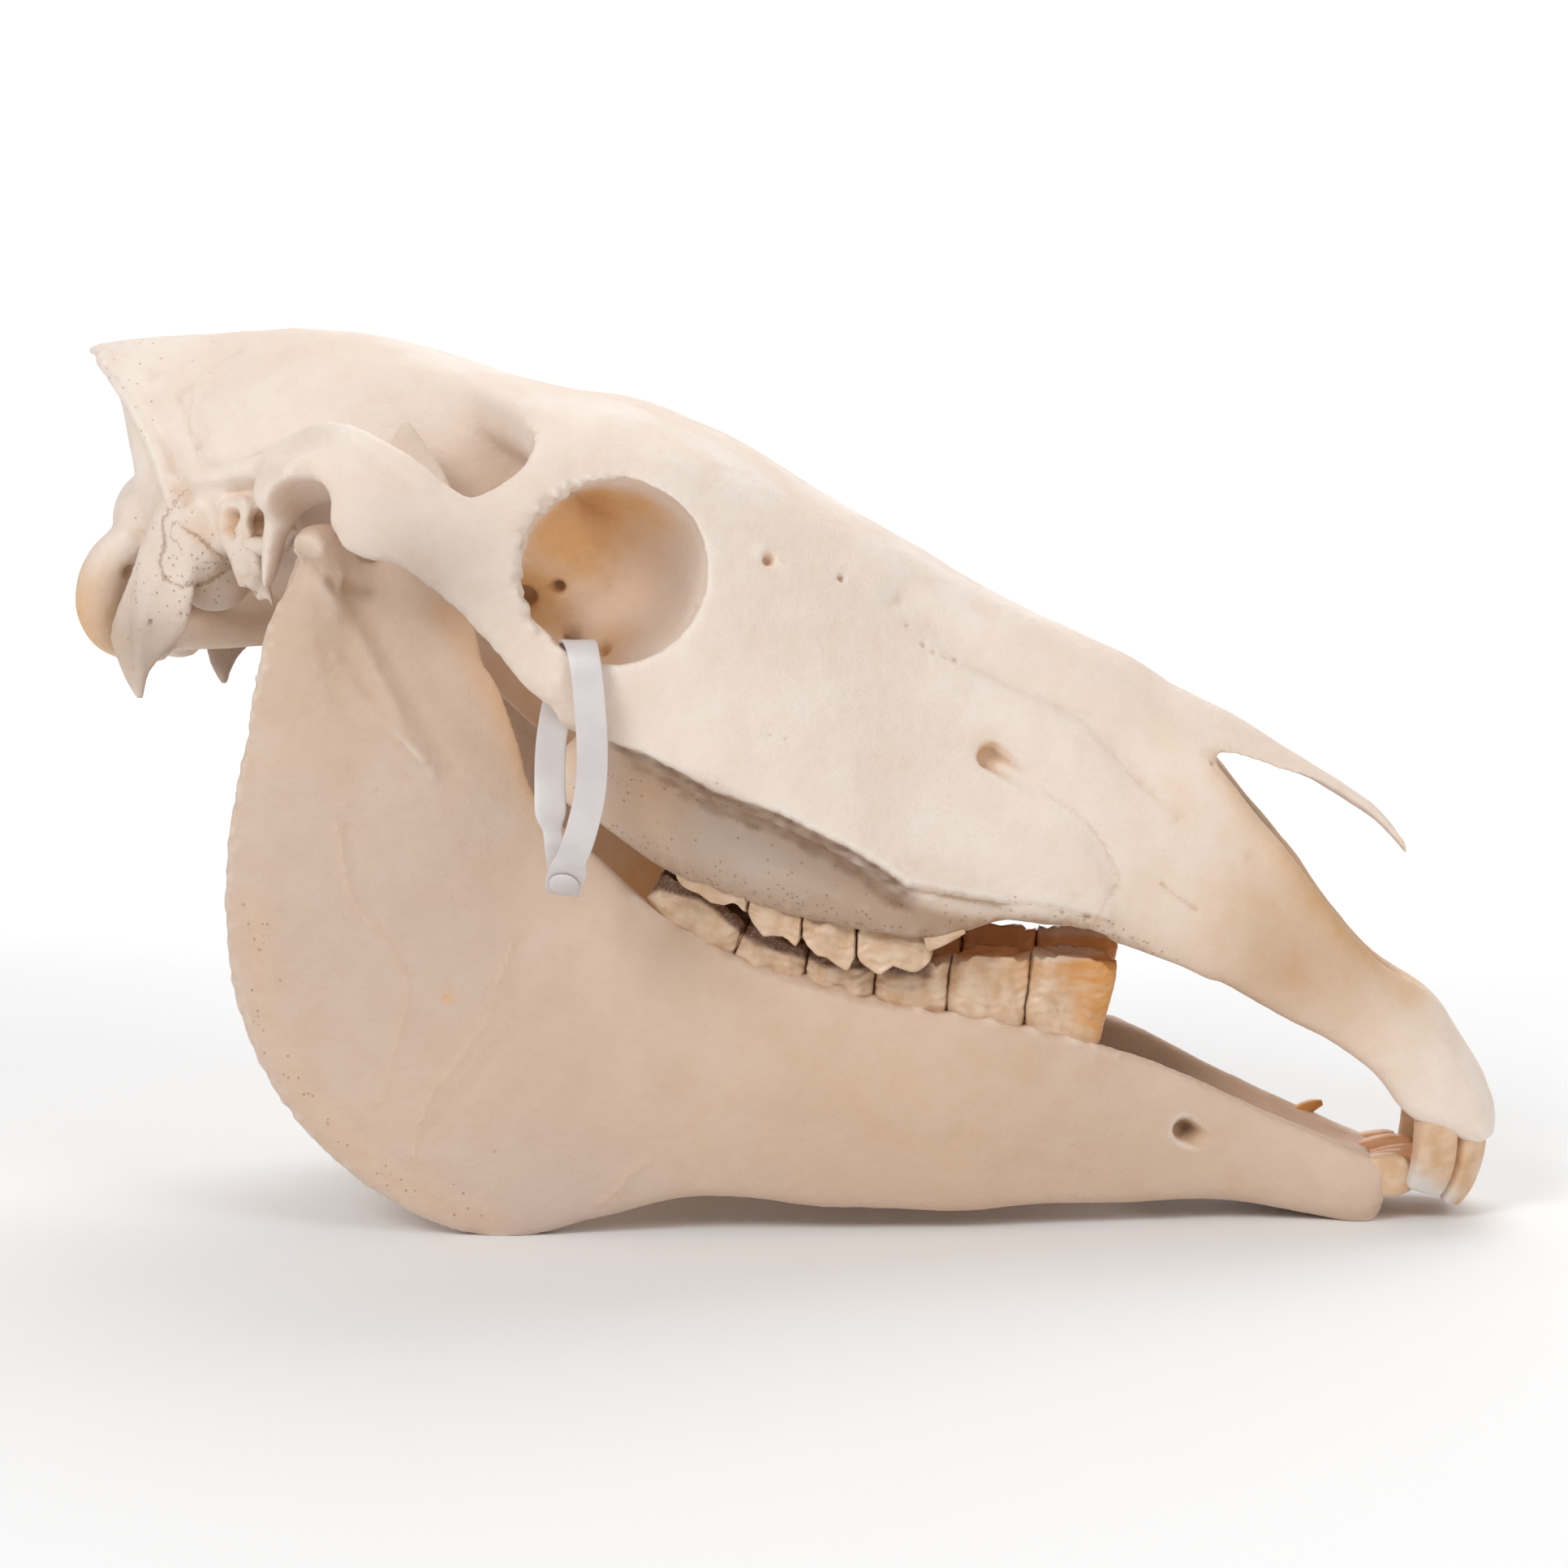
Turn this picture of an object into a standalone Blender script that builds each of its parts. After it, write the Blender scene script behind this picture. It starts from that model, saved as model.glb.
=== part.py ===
"""Horse skull, life size: cranium and mandible closed on each other, and a plastic strap round one arch.

Metres, +Z up, +X towards the nose, the animal's left at +Y. The skull stands on the angles and the chin of
its mandible. Sizes are in millimetres, and MM turns them into metres. Pieces beside the midline are written
for the left side (+Y) and mirrored.
"""

from math import pi, radians

import bmesh
import bpy
import numpy as np
from mathutils import Euler, Matrix, Vector

MM = 0.001

# The whole skull is moved by this much, to bring its box over the origin and its lowest points to the floor.
SHIFT = (1.1, 0.0, -0.7)

# Fineness of the solids: the grid that fuses the pieces, and the faces left on each bone.
VOXEL = 2.1
CRANIUM_FACES = 5100
MANDIBLE_FACES = 2900

BONE = (0.80, 0.70, 0.58)
PLASTIC = (0.82, 0.81, 0.84)


# ---------------------------------------------------------------- curves and surfaces


def along(knots, at):
    """Smooth values at the places `at`, through rows of (place, value, value, ...)."""
    rows = np.array(knots, float)
    where, values = rows[:, 0], rows[:, 1:]
    at = np.clip(np.atleast_1d(at), where[0], where[-1])
    slope = np.gradient(values, where, axis=0)
    i = np.clip(np.searchsorted(where, at) - 1, 0, len(where) - 2)
    step = (where[i + 1] - where[i])[:, None]
    t = (at - where[i])[:, None] / step
    return (
        (2 * t**3 - 3 * t**2 + 1) * values[i]
        + (t**3 - 2 * t**2 + t) * step * slope[i]
        + (3 * t**2 - 2 * t**3) * values[i + 1]
        + (t**3 - t**2) * step * slope[i + 1]
    )


def finer(knots, steps):
    """Smooth rows between the given rows, `steps` for each of them."""
    rows = np.column_stack([np.arange(len(knots)), np.array(knots, float)])
    return along(rows, np.linspace(0, len(knots) - 1, (len(knots) - 1) * steps + 1))


def round_rings(corners, count):
    """Closed smooth rings of `count` points through each row of corner points."""
    many = corners.shape[1]
    place = np.arange(count) * many / count
    i = place.astype(int)
    t = (place - i)[None, :, None]
    before, here, after, beyond = (corners[:, (i + k) % many] for k in (-1, 0, 1, 2))
    return 0.5 * (
        2 * here
        + (after - before) * t
        + (2 * before - 5 * here + 4 * after - beyond) * t**2
        + (3 * here - before - 3 * after + beyond) * t**3
    )


def superellipse(count, square):
    """Two coordinates of points round a circle, pulled towards a square as `square` falls from 1."""
    angle = np.arange(count) * 2 * pi / count
    c, s = np.cos(angle), np.sin(angle)
    return np.sign(c) * np.abs(c) ** square, np.sign(s) * np.abs(s) ** square


def enclosed(points, quads):
    """Six times the volume inside the quads, which is below zero where they face inwards."""
    a, b, c, d = (points[quads[:, k]] - points.mean(axis=0) for k in range(4))
    return np.sum(a * np.cross(b, c)) + np.sum(a * np.cross(c, d))


def shell(rings):
    """A closed surface (points, faces) from rings of equal size, with a flat face at each end."""
    many, count = rings.shape[:2]
    index = np.arange(many * count).reshape(many, count)
    turned = np.roll(index, -1, axis=1)
    sides = np.stack([index[:-1], turned[:-1], turned[1:], index[1:]], -1).reshape(-1, 4)
    faces = sides.tolist() + [index[0, ::-1].tolist(), index[-1].tolist()]
    if enclosed(rings.reshape(-1, 3), sides) < 0:
        faces = [face[::-1] for face in faces]
    return rings.reshape(-1, 3), faces


def body_loft(rails, places, count=40):
    """A symmetric body from rails, rows of (x, half width, height), listed from the top midline down."""
    sides = [along(rail, places) for rail in rails]
    x = np.array(places, float)
    left = np.stack([np.column_stack([x, s[:, 0], s[:, 1]]) for s in sides], 1)
    right = left[:, -2:0:-1] * [1, -1, 1]
    return shell(round_rings(np.concatenate([left, right], 1), count))


def ribbon(knots, count=24, steps=4, square=0.6):
    """A plate between two edges: rows of (one edge x, y, z, other edge x, y, z, three thicknesses).

    It is as thick, measured across the skull, at the first edge, the middle and the other edge as each row
    says."""
    rows = finer(knots, steps)
    over, out = superellipse(count, square)
    down = (0.5 - 0.5 * over)[None, :, None]
    first, other = rows[:, None, 0:3], rows[:, None, 3:6]
    thick = (
        rows[:, None, 6:7] * np.clip(1 - 2 * down, 0, 1)
        + rows[:, None, 7:8] * (1 - np.abs(1 - 2 * down))
        + rows[:, None, 8:9] * np.clip(2 * down - 1, 0, 1)
    )
    rings = first * (1 - down) + other * down
    rings[..., 1:2] += 0.5 * thick * out[None, :, None]
    return shell(rings)


def limb(knots, count=20, steps=4, side=(0, 1, 0), square=1.0):
    """A bar along rows of (x, y, z, half size along `side`, half size across it)."""
    rows = finer(knots, steps)
    path = rows[:, :3]
    ahead = np.gradient(path, axis=0)
    ahead /= np.linalg.norm(ahead, axis=1, keepdims=True)
    side = np.array(side, float)
    wide = side - ahead * (ahead @ side)[:, None]
    wide /= np.linalg.norm(wide, axis=1, keepdims=True)
    tall = np.cross(ahead, wide)
    c, s = superellipse(count, square)
    return shell(
        path[:, None]
        + wide[:, None] * (rows[:, None, 3:4] * c[None, :, None])
        + tall[:, None] * (rows[:, None, 4:5] * s[None, :, None])
    )


def lump(centre, radii, turn=(0, 0, 0), count=16):
    """An ellipsoid, turned by degrees about X, Y and Z."""
    polar = np.linspace(0.02, pi - 0.02, count)[:, None]
    angle = np.arange(count * 2) * pi / count
    flat = np.sin(polar)
    ball = np.stack([flat * np.cos(angle), flat * np.sin(angle), np.cos(polar) + 0 * angle], -1)
    spin = np.array(Euler([radians(a) for a in turn]).to_matrix())
    return shell((ball * np.array(radii, float)) @ spin.T + np.array(centre, float))


def lying_tube(knots, stations, count=24, square=1.0):
    """A tube lengthwise through rows of (x, top, underside, half width), centred on the midline."""
    x = np.linspace(knots[0][0], knots[-1][0], stations)
    top, low, wide = along(knots, x).T[:, :, None]
    c, s = superellipse(count, square)
    return shell(np.stack([x[:, None] + 0 * c, wide * c, (top + low) / 2 + (top - low) / 2 * s], -1))


def mirrored(*shells):
    """Each left-side shell and its right-side twin, whose faces are turned round again."""
    twins = [(points * [1, -1, 1], [f[::-1] for f in faces]) for points, faces in shells]
    return [*shells, *twins]


# ---------------------------------------------------------------- cranium: face and braincase

# Rails of the face, from the dorsal midline down to the palate: (x, half width, height).
FACE = {
    "dorsum": [
        (-62, 0, 285), (-50, 0, 283), (-28, 0, 274), (17, 0, 248), (61, 0, 222), (84, 0, 209),
        (128, 0, 187), (148, 0, 172),
    ],
    "brow": [(-62, 60, 279), (-28, 57, 267), (17, 41, 243), (61, 27, 217), (106, 19, 194), (148, 12, 167)],
    "orbit_top": [
        (-62, 84, 260), (-50, 86, 258), (-28, 81, 251), (17, 60, 221), (61, 39, 197), (106, 29, 177),
        (148, 20, 154),
    ],
    "cheek": [(-62, 97, 225), (-28, 91, 213), (17, 74, 185), (61, 52, 162), (106, 38, 145), (148, 28, 128)],
    "crest": [
        (-62, 97, 182), (-45, 95, 175), (-7, 87, 161), (18, 79, 147), (49, 67, 122), (72, 56, 120),
        (96, 48, 116), (117, 41, 107), (148, 31, 95),
    ],
    "under_crest": [
        (-62, 62, 178), (-7, 61, 158), (18, 60, 143), (49, 58, 118), (72, 54, 115), (96, 46, 112),
        (117, 40, 102), (148, 30, 88),
    ],
    "sockets": [
        (-62, 50, 144), (-32, 55, 125), (-6, 57, 115), (32, 57, 105), (52, 55.5, 101.5), (66, 52, 104),
        (78, 50, 107.5), (91, 46.5, 105.5), (105, 42.5, 103.5), (117, 39, 99), (128, 35, 93.5),
        (148, 28, 83),
    ],
    "palate_edge": [
        (-62, 31, 147), (-32, 33, 127), (-6, 34, 117), (32, 33, 107), (66, 31, 106), (91, 28, 106),
        (117, 22, 99), (148, 17, 86),
    ],
    "palate": [
        (-62, 0, 160), (-6, 0, 130), (32, 0, 119), (66, 0, 118), (93, 0, 119), (117, 0, 107), (148, 0, 92),
    ],
}

# Rails of the frontal roof, which narrows from the orbits back to the braincase.
ROOF = {
    "midline": [(-112, 0, 298), (-97, 0, 293), (-74, 0, 287), (-50, 0, 283), (-28, 0, 274)],
    "brow": [(-112, 24, 294), (-97, 34, 288), (-82, 47, 283), (-66, 59, 279), (-50, 62, 276), (-28, 57, 267)],
    "edge": [(-112, 36, 286), (-97, 43, 281), (-84, 57, 276), (-72, 75, 270), (-58, 86, 261), (-28, 80, 251)],
    "under_edge": [
        (-112, 34, 276), (-97, 39, 270), (-84, 50, 265), (-72, 68, 259), (-58, 80, 251), (-28, 74, 243),
    ],
    "under": [(-112, 0, 270), (-84, 0, 262), (-28, 0, 240)],
}

# Rails of the braincase, from the crown down to the skull base.
BRAINCASE = {
    "crown": [
        (-234, 0, 306), (-214, 0, 308.5), (-190, 0, 309), (-166, 0, 309), (-143, 0, 307), (-120, 0, 301),
        (-97, 0, 293), (-56, 0, 270),
    ],
    "temple_line": [
        (-234, 13, 304), (-200, 10, 305), (-166, 15, 305), (-143, 22, 302), (-120, 29, 296),
        (-97, 36, 286), (-56, 28, 262),
    ],
    "temple": [
        (-234, 20, 298), (-214, 28, 288), (-200, 31, 286), (-166, 40, 287), (-143, 45, 283),
        (-120, 46, 277), (-97, 43, 266), (-56, 30, 250),
    ],
    "side": [
        (-234, 18, 296), (-214, 40, 270), (-200, 48, 262), (-166, 53, 260), (-143, 52, 256),
        (-120, 48, 250), (-97, 42, 242), (-56, 31, 230),
    ],
    "base_edge": [
        (-234, 10, 295), (-214, 40, 246), (-200, 46, 238), (-166, 48, 230), (-143, 44, 226),
        (-120, 38, 220), (-97, 32, 213), (-56, 27, 205),
    ],
    "base": [
        (-234, 0, 295), (-214, 0, 236), (-200, 0, 215), (-166, 0, 208), (-143, 0, 206), (-120, 0, 203),
        (-97, 0, 198), (-56, 0, 192),
    ],
}

# Zygomatic arch: upper edge, lower edge, thicknesses, from the temporal root forward under the orbit.
ARCH = [
    (-162, 60, 263, -158, 66, 247, 8, 12, 8),
    (-147, 80, 265, -147, 83, 245, 8, 12, 8),
    (-134, 90, 266, -135, 92, 240, 8, 11, 9),
    (-122, 95, 265, -126, 95, 232, 8, 11, 9),
    (-104, 99, 258, -108, 98.5, 225, 8, 11, 8),
    (-90, 100, 250, -92, 99, 213, 8, 11, 8),
    (-76, 98, 243, -80, 98, 200, 9, 11, 8),
    (-66, 95, 224, -71, 95, 188, 9, 11, 9),
    (-54, 91, 203, -59, 92, 178, 10, 12, 9),
    (-38, 86, 192, -43, 88, 172, 12, 13, 9),
]
# Postorbital bar: hind edge, orbital edge, thicknesses, from the frontal bone down to the arch.
ORBIT_BAR = [
    (-82, 56, 277, -42, 66, 264, 10, 13, 10),
    (-75, 74, 273, -44, 80, 256, 8, 12, 8),
    (-69, 86, 267, -51, 88, 250, 7, 11, 7),
    (-70, 94, 258, -58, 92, 243, 7, 10, 7),
    (-79, 98, 251, -66, 96, 233, 7, 10, 7),
    (-93, 98, 246, -73, 97, 222, 7, 10, 8),
]
ARCH_ROOT = [
    (-148, 38, 258, 22, 12), (-148, 56, 258, 20, 11), (-145, 74, 256.5, 17, 9.5), (-136, 90, 255, 14, 9),
]


def nuchal_end():
    """Back wall under the nuchal crest, with the boss over the foramen magnum and the skull base."""
    wall = limb(
        [
            (-238, 0, 308, 13, 4),
            (-236, 0, 303.5, 24, 8),
            (-226, 0, 293, 32, 7),
            (-214, 0, 279, 40, 8),
            (-206, 0, 266, 45, 9),
            (-203, 0, 252, 49, 10),
            (-204, 0, 238, 51, 13),
            (-203, 0, 224, 45, 13),
        ],
        square=0.9,
    )
    boss = lump((-221, 0, 243), (16, 27, 17))
    base = limb(
        [
            (-224, 0, 206, 22, 8), (-200, 0, 206, 19, 9), (-170, 0, 207, 17, 9), (-130, 0, 203, 15, 8),
            (-90, 0, 198, 12, 8), (-50, 0, 190, 10, 7),
        ]
    )
    return [wall, boss, base]


def hind_processes():
    """Condyles, paracondylar and mastoid processes, ear openings and the stop behind each jaw joint."""
    condyle = limb([
        (-216, 37, 238, 8, 8), (-227, 34, 228, 11, 10), (-232, 29, 214, 13, 11), (-230, 20, 204, 12, 9),
        (-218, 11, 200, 8, 7),
    ])
    paracondylar = ribbon(
        [
            (-204, 50, 250, -186, 54, 246, 10, 12, 9),
            (-214, 51, 230, -190, 55, 228, 10, 11, 8),
            (-221, 50, 213, -195, 54, 212, 8, 9, 5),
            (-224, 48, 201, -199, 51, 201, 7, 8, 4),
            (-222, 46, 191, -208, 48, 191, 6, 7, 4),
            (-219, 45, 182, -213, 46, 182, 5, 5, 4),
        ]
    )
    mastoid = lump((-193, 50, 236), (12, 8.5, 18), (0, -15, 0))
    ridge = limb([(-158, 60, 261, 6, 5), (-174, 57, 258, 5, 4), (-192, 52, 256, 5, 4), (-208, 45, 258, 4, 4)])
    bulla = limb([
        (-174, 50, 248, 9, 10), (-172, 57, 238, 8, 10), (-172, 56, 228, 7, 9), (-173, 53, 218, 4, 6),
    ], side=(1, 0, 0))
    ear_tube = limb([(-168, 48, 243, 7, 7), (-164, 62, 242, 6, 6)], side=(1, 0, 0))
    jaw_stop = limb([
        (-156, 64, 252, 6, 10), (-160, 67, 236, 4.5, 9), (-162, 67, 222, 3.5, 6),
    ], side=(1, 0, 0))
    return mirrored(condyle, paracondylar, mastoid, ridge, bulla, ear_tube, jaw_stop)


def throat():
    """Plates beside the hind nasal openings, with their small hooks."""
    plate = ribbon(
        [
            (-128, 20, 210, -124, 17, 196, 6, 6, 4),
            (-100, 24, 212, -98, 21, 182, 7, 6, 4),
            (-76, 28, 205, -74, 24, 160, 8, 6, 5),
            (-54, 30, 190, -52, 27, 138, 10, 8, 6),
            (-34, 32, 176, -32, 30, 128, 10, 10, 8),
        ]
    )
    hook = limb([(-72, 24, 166, 3, 4), (-70, 25, 154, 2.5, 3.5), (-64, 27, 146, 2, 2.5)])
    return mirrored(plate, hook)


# ---------------------------------------------------------------- cranium: muzzle

MUZZLE = {
    "bridge": [
        (112, 0, 176), (150, 0, 150), (171, 0, 124), (192, 0, 100), (204, 0, 89), (215, 0, 84),
        (226, 0, 74), (234, 0, 61), (240, 0, 45),
    ],
    "top": [
        (112, 20, 170), (130, 24.5, 163.5), (146, 26.3, 157), (152, 26, 151), (160, 25, 141),
        (171, 23, 129), (192, 19, 105), (204, 15, 94), (215, 11, 84), (226, 7, 73), (234, 5, 60),
        (240, 2, 44),
    ],
    "side": [
        (112, 37, 130), (150, 32, 115), (171, 28, 98), (192, 25, 80), (204, 25, 70), (215, 26, 58),
        (226, 24, 52), (234, 18, 46), (240, 6, 40),
    ],
    "low": [
        (112, 36, 99), (150, 29, 84), (171, 26, 71), (192, 23, 59), (204, 24, 49), (211, 26, 40),
        (226, 24, 35), (234, 18, 33), (240, 6, 34),
    ],
    "floor": [
        (112, 0, 108), (150, 0, 92), (171, 0, 80), (192, 0, 68), (204, 0, 60), (215, 0, 46), (226, 0, 38),
        (240, 0, 34),
    ],
}
# Free end of the nasal bones: x, height of the midline, height of the side edge, half width.
NASAL_END = [
    (112, 195, 172, 24),
    (130, 185, 164, 23.5),
    (146, 176.5, 157.5, 21),
    (153, 173, 155.5, 18.5),
    (160, 169, 153.5, 15.5),
    (171, 162, 150, 12),
    (182, 155, 147.5, 9),
    (193, 148, 142, 6.4),
    (204, 140, 133.5, 4.6),
    (215, 127.5, 121, 3),
]
NASAL_THICK = 6.4


def nasal_end():
    """An arched plate along X, whose edges hang below its midline and which narrows to one thin tip."""
    x = np.linspace(NASAL_END[0][0], NASAL_END[-1][0], 36)
    top, edge, wide = along(NASAL_END, x).T[:, :, None]
    c, s = superellipse(24, 1.0)
    middle = top - NASAL_THICK / 2 - np.maximum(top - edge - NASAL_THICK, 0) * c**2
    return shell(np.stack([x[:, None] + 0 * c, wide * c, middle + NASAL_THICK / 2 * s], -1))


# ---------------------------------------------------------------- teeth

# Height of the line where the upper and lower cheek teeth meet, along x.
BITE = [(-46, 122), (-36, 123), (-25, 120), (-8, 107), (14, 97), (37, 95), (61, 93), (86, 93), (120, 89)]
BITE_GAP = 1.6
# Middle of each row, as its distance from the midline along x.
UPPER_ROW = [(-40, 44), (0, 45), (40, 43.5), (66, 40.5), (93, 35.5), (118, 29)]
LOWER_ROW = [(-44, 45), (0, 40), (60, 33), (120, 27)]
# Front and back of each cheek tooth; the first two upper ones are missing, and leave their sockets.
UPPER_CHEEK = [(55, 28), (27, 7), (6, -14), (-15, -38)]
LOWER_CHEEK = [(118, 87), (86, 62), (61, 38), (37, 15), (14, -10), (-11, -42)]
EMPTY_SOCKETS = [(117, 93), (90, 66)]
UPPER_HALF_WIDTH = 10.5
LOWER_HALF_WIDTH = 7.0


def cheek_tooth(front, back, row, half_width, root, tip_rise, aside=0.0):
    """A rounded block from `root` millimetres off the bite line to `tip_rise` off it."""
    c, s = superellipse(16, 0.45)
    x = (front + back) / 2 + ((front - back) / 2 - 0.3) * c
    y = along(row, x)[:, 0] + aside + half_width * s
    bite = along(BITE, x)[:, 0]
    return shell(np.stack([np.column_stack([x, y, bite + rise]) for rise in (root, tip_rise)]))


def upper_cheek_teeth():
    """Four teeth a side, whose outer lips hang a little over the lower row."""
    teeth = [cheek_tooth(f, b, UPPER_ROW, UPPER_HALF_WIDTH, 26, BITE_GAP / 2) for f, b in UPPER_CHEEK]
    lips = [cheek_tooth(f, b, UPPER_ROW, 2.2, 14, -3.0, UPPER_HALF_WIDTH + 0.4) for f, b in UPPER_CHEEK]
    return mirrored(*teeth, *lips)


def lower_cheek_teeth():
    return mirrored(
        *[cheek_tooth(f, b, LOWER_ROW, LOWER_HALF_WIDTH, -34, -BITE_GAP / 2) for f, b in LOWER_CHEEK]
    )


def upper_incisors():
    """Three a side, curved down and back, in rows of (x, y, z, half width, half depth)."""
    third = limb([(221, 21, 44, 7, 7), (223.5, 22, 26, 6.5, 6), (222, 20.5, 11, 5.5, 4.5)], square=0.7)
    second = limb([(230, 14, 42, 6, 5), (231.5, 14, 24, 6.5, 5), (228, 12.5, 8, 6, 3.5)], square=0.7)
    first = limb([(235.5, 5, 42, 5, 4), (237, 5, 24, 5.5, 4.2), (232.5, 5, 7, 5, 3)], square=0.7)
    return mirrored(third, second, first)


def lower_incisors():
    """Three a side, nearly level, and the one canine that is through, on the left."""
    third = limb([(194, 20, 18, 6, 6), (204, 22, 22, 5.5, 5.5), (211, 21, 24, 5, 4)], square=0.7)
    second = limb([(198, 13, 14, 6, 6), (209, 14.5, 18.5, 6, 5.5), (217, 13.5, 22, 5.5, 4)], square=0.7)
    first = limb([(200, 5, 12, 5, 6), (212, 5, 17, 5.5, 5.5), (221, 5, 21, 5, 4)], square=0.7)
    canine = limb([(172, 19, 32, 3.5, 4), (179, 21, 38, 2.8, 3), (184, 22, 43, 1.8, 2)])
    return [*mirrored(third, second, first), canine]


# ---------------------------------------------------------------- hollows of the cranium


def orbit_hollow():
    """The eye socket, a round funnel from its rim towards the middle of the skull."""
    return limb(
        [
            (-41, 125, 225, 31, 31),
            (-42, 100, 225, 29.5, 29.5),
            (-43, 90, 224, 29, 29),
            (-46, 75, 223, 31, 30),
            (-52, 55, 221, 29, 26),
            (-58, 40, 219, 22, 19),
            (-62, 33, 218, 10, 10),
        ],
        side=(1, 0, 0),
        count=28,
    )


def temple_hollow():
    """The space inside the arch, behind and below the orbit, that the jaw muscles filled."""
    return limb(
        [
            (-130, 68, 205, 14, 24),
            (-116, 69, 208, 20, 38),
            (-100, 69, 210, 24, 44),
            (-84, 68, 206, 25, 46),
            (-70, 67, 203, 22, 43),
            (-60, 66, 196, 20, 40),
            (-50, 66, 184, 17, 22),
            (-40, 66, 178, 10, 10),
        ],
        count=28,
        square=0.8,
    )


def nasal_hollow():
    """The nasal passage, open between the nasal and the incisive bones: x, roof, floor, half width."""
    return lying_tube(
        [
            (64, 176, 150, 8),
            (90, 176, 132, 14),
            (120, 170, 114, 18),
            (146, 160, 100, 18.5),
            (158, 158, 93, 18),
            (171, 152, 86, 16.5),
            (190, 142, 74, 13.5),
            (204, 131, 66, 10),
            (212, 110, 62, 5.5),
        ],
        30,
        square=0.6,
    )


def choana_hollow():
    """The hind opening of the nasal passage, above and behind the palate."""
    return limb([
        (20, 0, 134, 14, 6), (0, 0, 128, 20, 18), (-24, 0, 138, 21, 26), (-50, 0, 152, 21, 26),
        (-84, 0, 160, 20, 24),
    ])


def joint_hollow():
    """The hollow in the temporal bone that the mandible's condyle turns in."""
    return lump((-142, 76, 243.5), (14, 22, 10))


def foramen_magnum():
    return limb([(-262, 0, 226, 17, 16), (-232, 0, 224, 17, 15), (-205, 0, 226, 14, 12)])


def empty_sockets():
    return mirrored(*[cheek_tooth(f, b, UPPER_ROW, 7, -6, 19) for f, b in EMPTY_SOCKETS])


# ---------------------------------------------------------------- mandible

# Each half: upper or front edge, lower or hind edge, thicknesses, from the joint down and forward to the chin.
JAW = [
    (-128, 66, 227, -150, 70, 235, 8, 10, 10),
    (-118, 65, 218, -156, 72, 218, 7, 10, 11),
    (-102, 64, 206, -164, 73, 194, 6, 9, 12),
    (-88, 61, 188, -172, 71, 164, 6, 8, 13),
    (-81, 59, 168, -179, 68, 134, 7, 8, 13),
    (-77, 57, 152, -181, 66, 106, 8, 8, 14),
    (-68, 54, 140, -177, 64, 73, 10, 9, 15),
    (-54, 52, 126, -160, 62, 40, 14, 10, 16),
    (-42, 49, 114, -128, 60, 12, 20, 12, 16),
    (-28, 46, 104, -92, 58, -0.8, 22, 16, 15),
    (-12, 44, 95, -58, 55, 6, 22, 20, 15),
    (14, 41, 86, -25, 51, 13, 22, 22, 15),
    (36, 39, 80, 19, 46, 9, 22, 22, 15),
    (62, 36, 73, 55, 41, 7, 20, 21, 15),
    (88, 33, 68, 88, 35, 8, 18, 19, 15),
    (114, 29, 61, 116, 29, 8, 12, 16, 14),
    (130, 25, 55, 136, 24, 8, 8, 15, 15),
    (150, 21, 45, 154, 19, 7, 8, 17, 18),
    (177, 18, 33, 180, 15, 2, 9, 19, 20),
    (200, 18, 24, 202, 14, -1, 14, 21, 20),
    (208, 15, 21, 208, 12, 2, 16, 20, 18),
]
# The blade in front of each joint: front edge, hind edge, thicknesses, from its root up.
CORONOID = [
    (-92, 61.5, 194, -134, 67, 212, 6, 9, 9),
    (-96, 60.5, 212, -129, 65, 224, 5, 8, 8),
    (-100, 60, 230, -124, 62, 236, 5, 7, 6),
    (-105, 60, 248, -123, 61, 251, 5, 6, 5),
    (-110, 60, 261, -122, 61, 263, 5, 5, 5),
    (-114, 60, 271, -120, 60.5, 272, 4, 4, 4),
]


def jaw_halves():
    condyle = limb([
        (-144, 56, 231, 5, 4), (-142, 61, 233.5, 8, 6), (-141, 72, 234.5, 8.5, 6.5),
        (-141, 84, 234.5, 8, 6), (-143, 91, 232, 6, 5),
    ], side=(1, 0, 0))
    neck = limb([
        (-141, 76, 233, 13, 7), (-143, 75, 222, 10, 9), (-147, 73, 208, 6, 13), (-150, 72, 196, 3, 14),
    ])
    return mirrored(ribbon(JAW, count=28), ribbon(CORONOID), condyle, neck)


def chin():
    """The fused front of the two halves, hollowed on top."""
    return limb(
        [
            (118, 0, 15, 3, 2), (126, 0, 16, 9, 5), (138, 0, 17, 14, 8), (165, 0, 16, 18, 10),
            (190, 0, 13, 18, 10), (204, 0, 13, 17, 9),
        ]
    )


# ---------------------------------------------------------------- strap

# Plastic band, 10 mm by 1.2 mm, whose two ends are held one behind the other by a two-headed stud.
BAND_HALF = 5.0
BAND_THICK = 1.2
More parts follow.
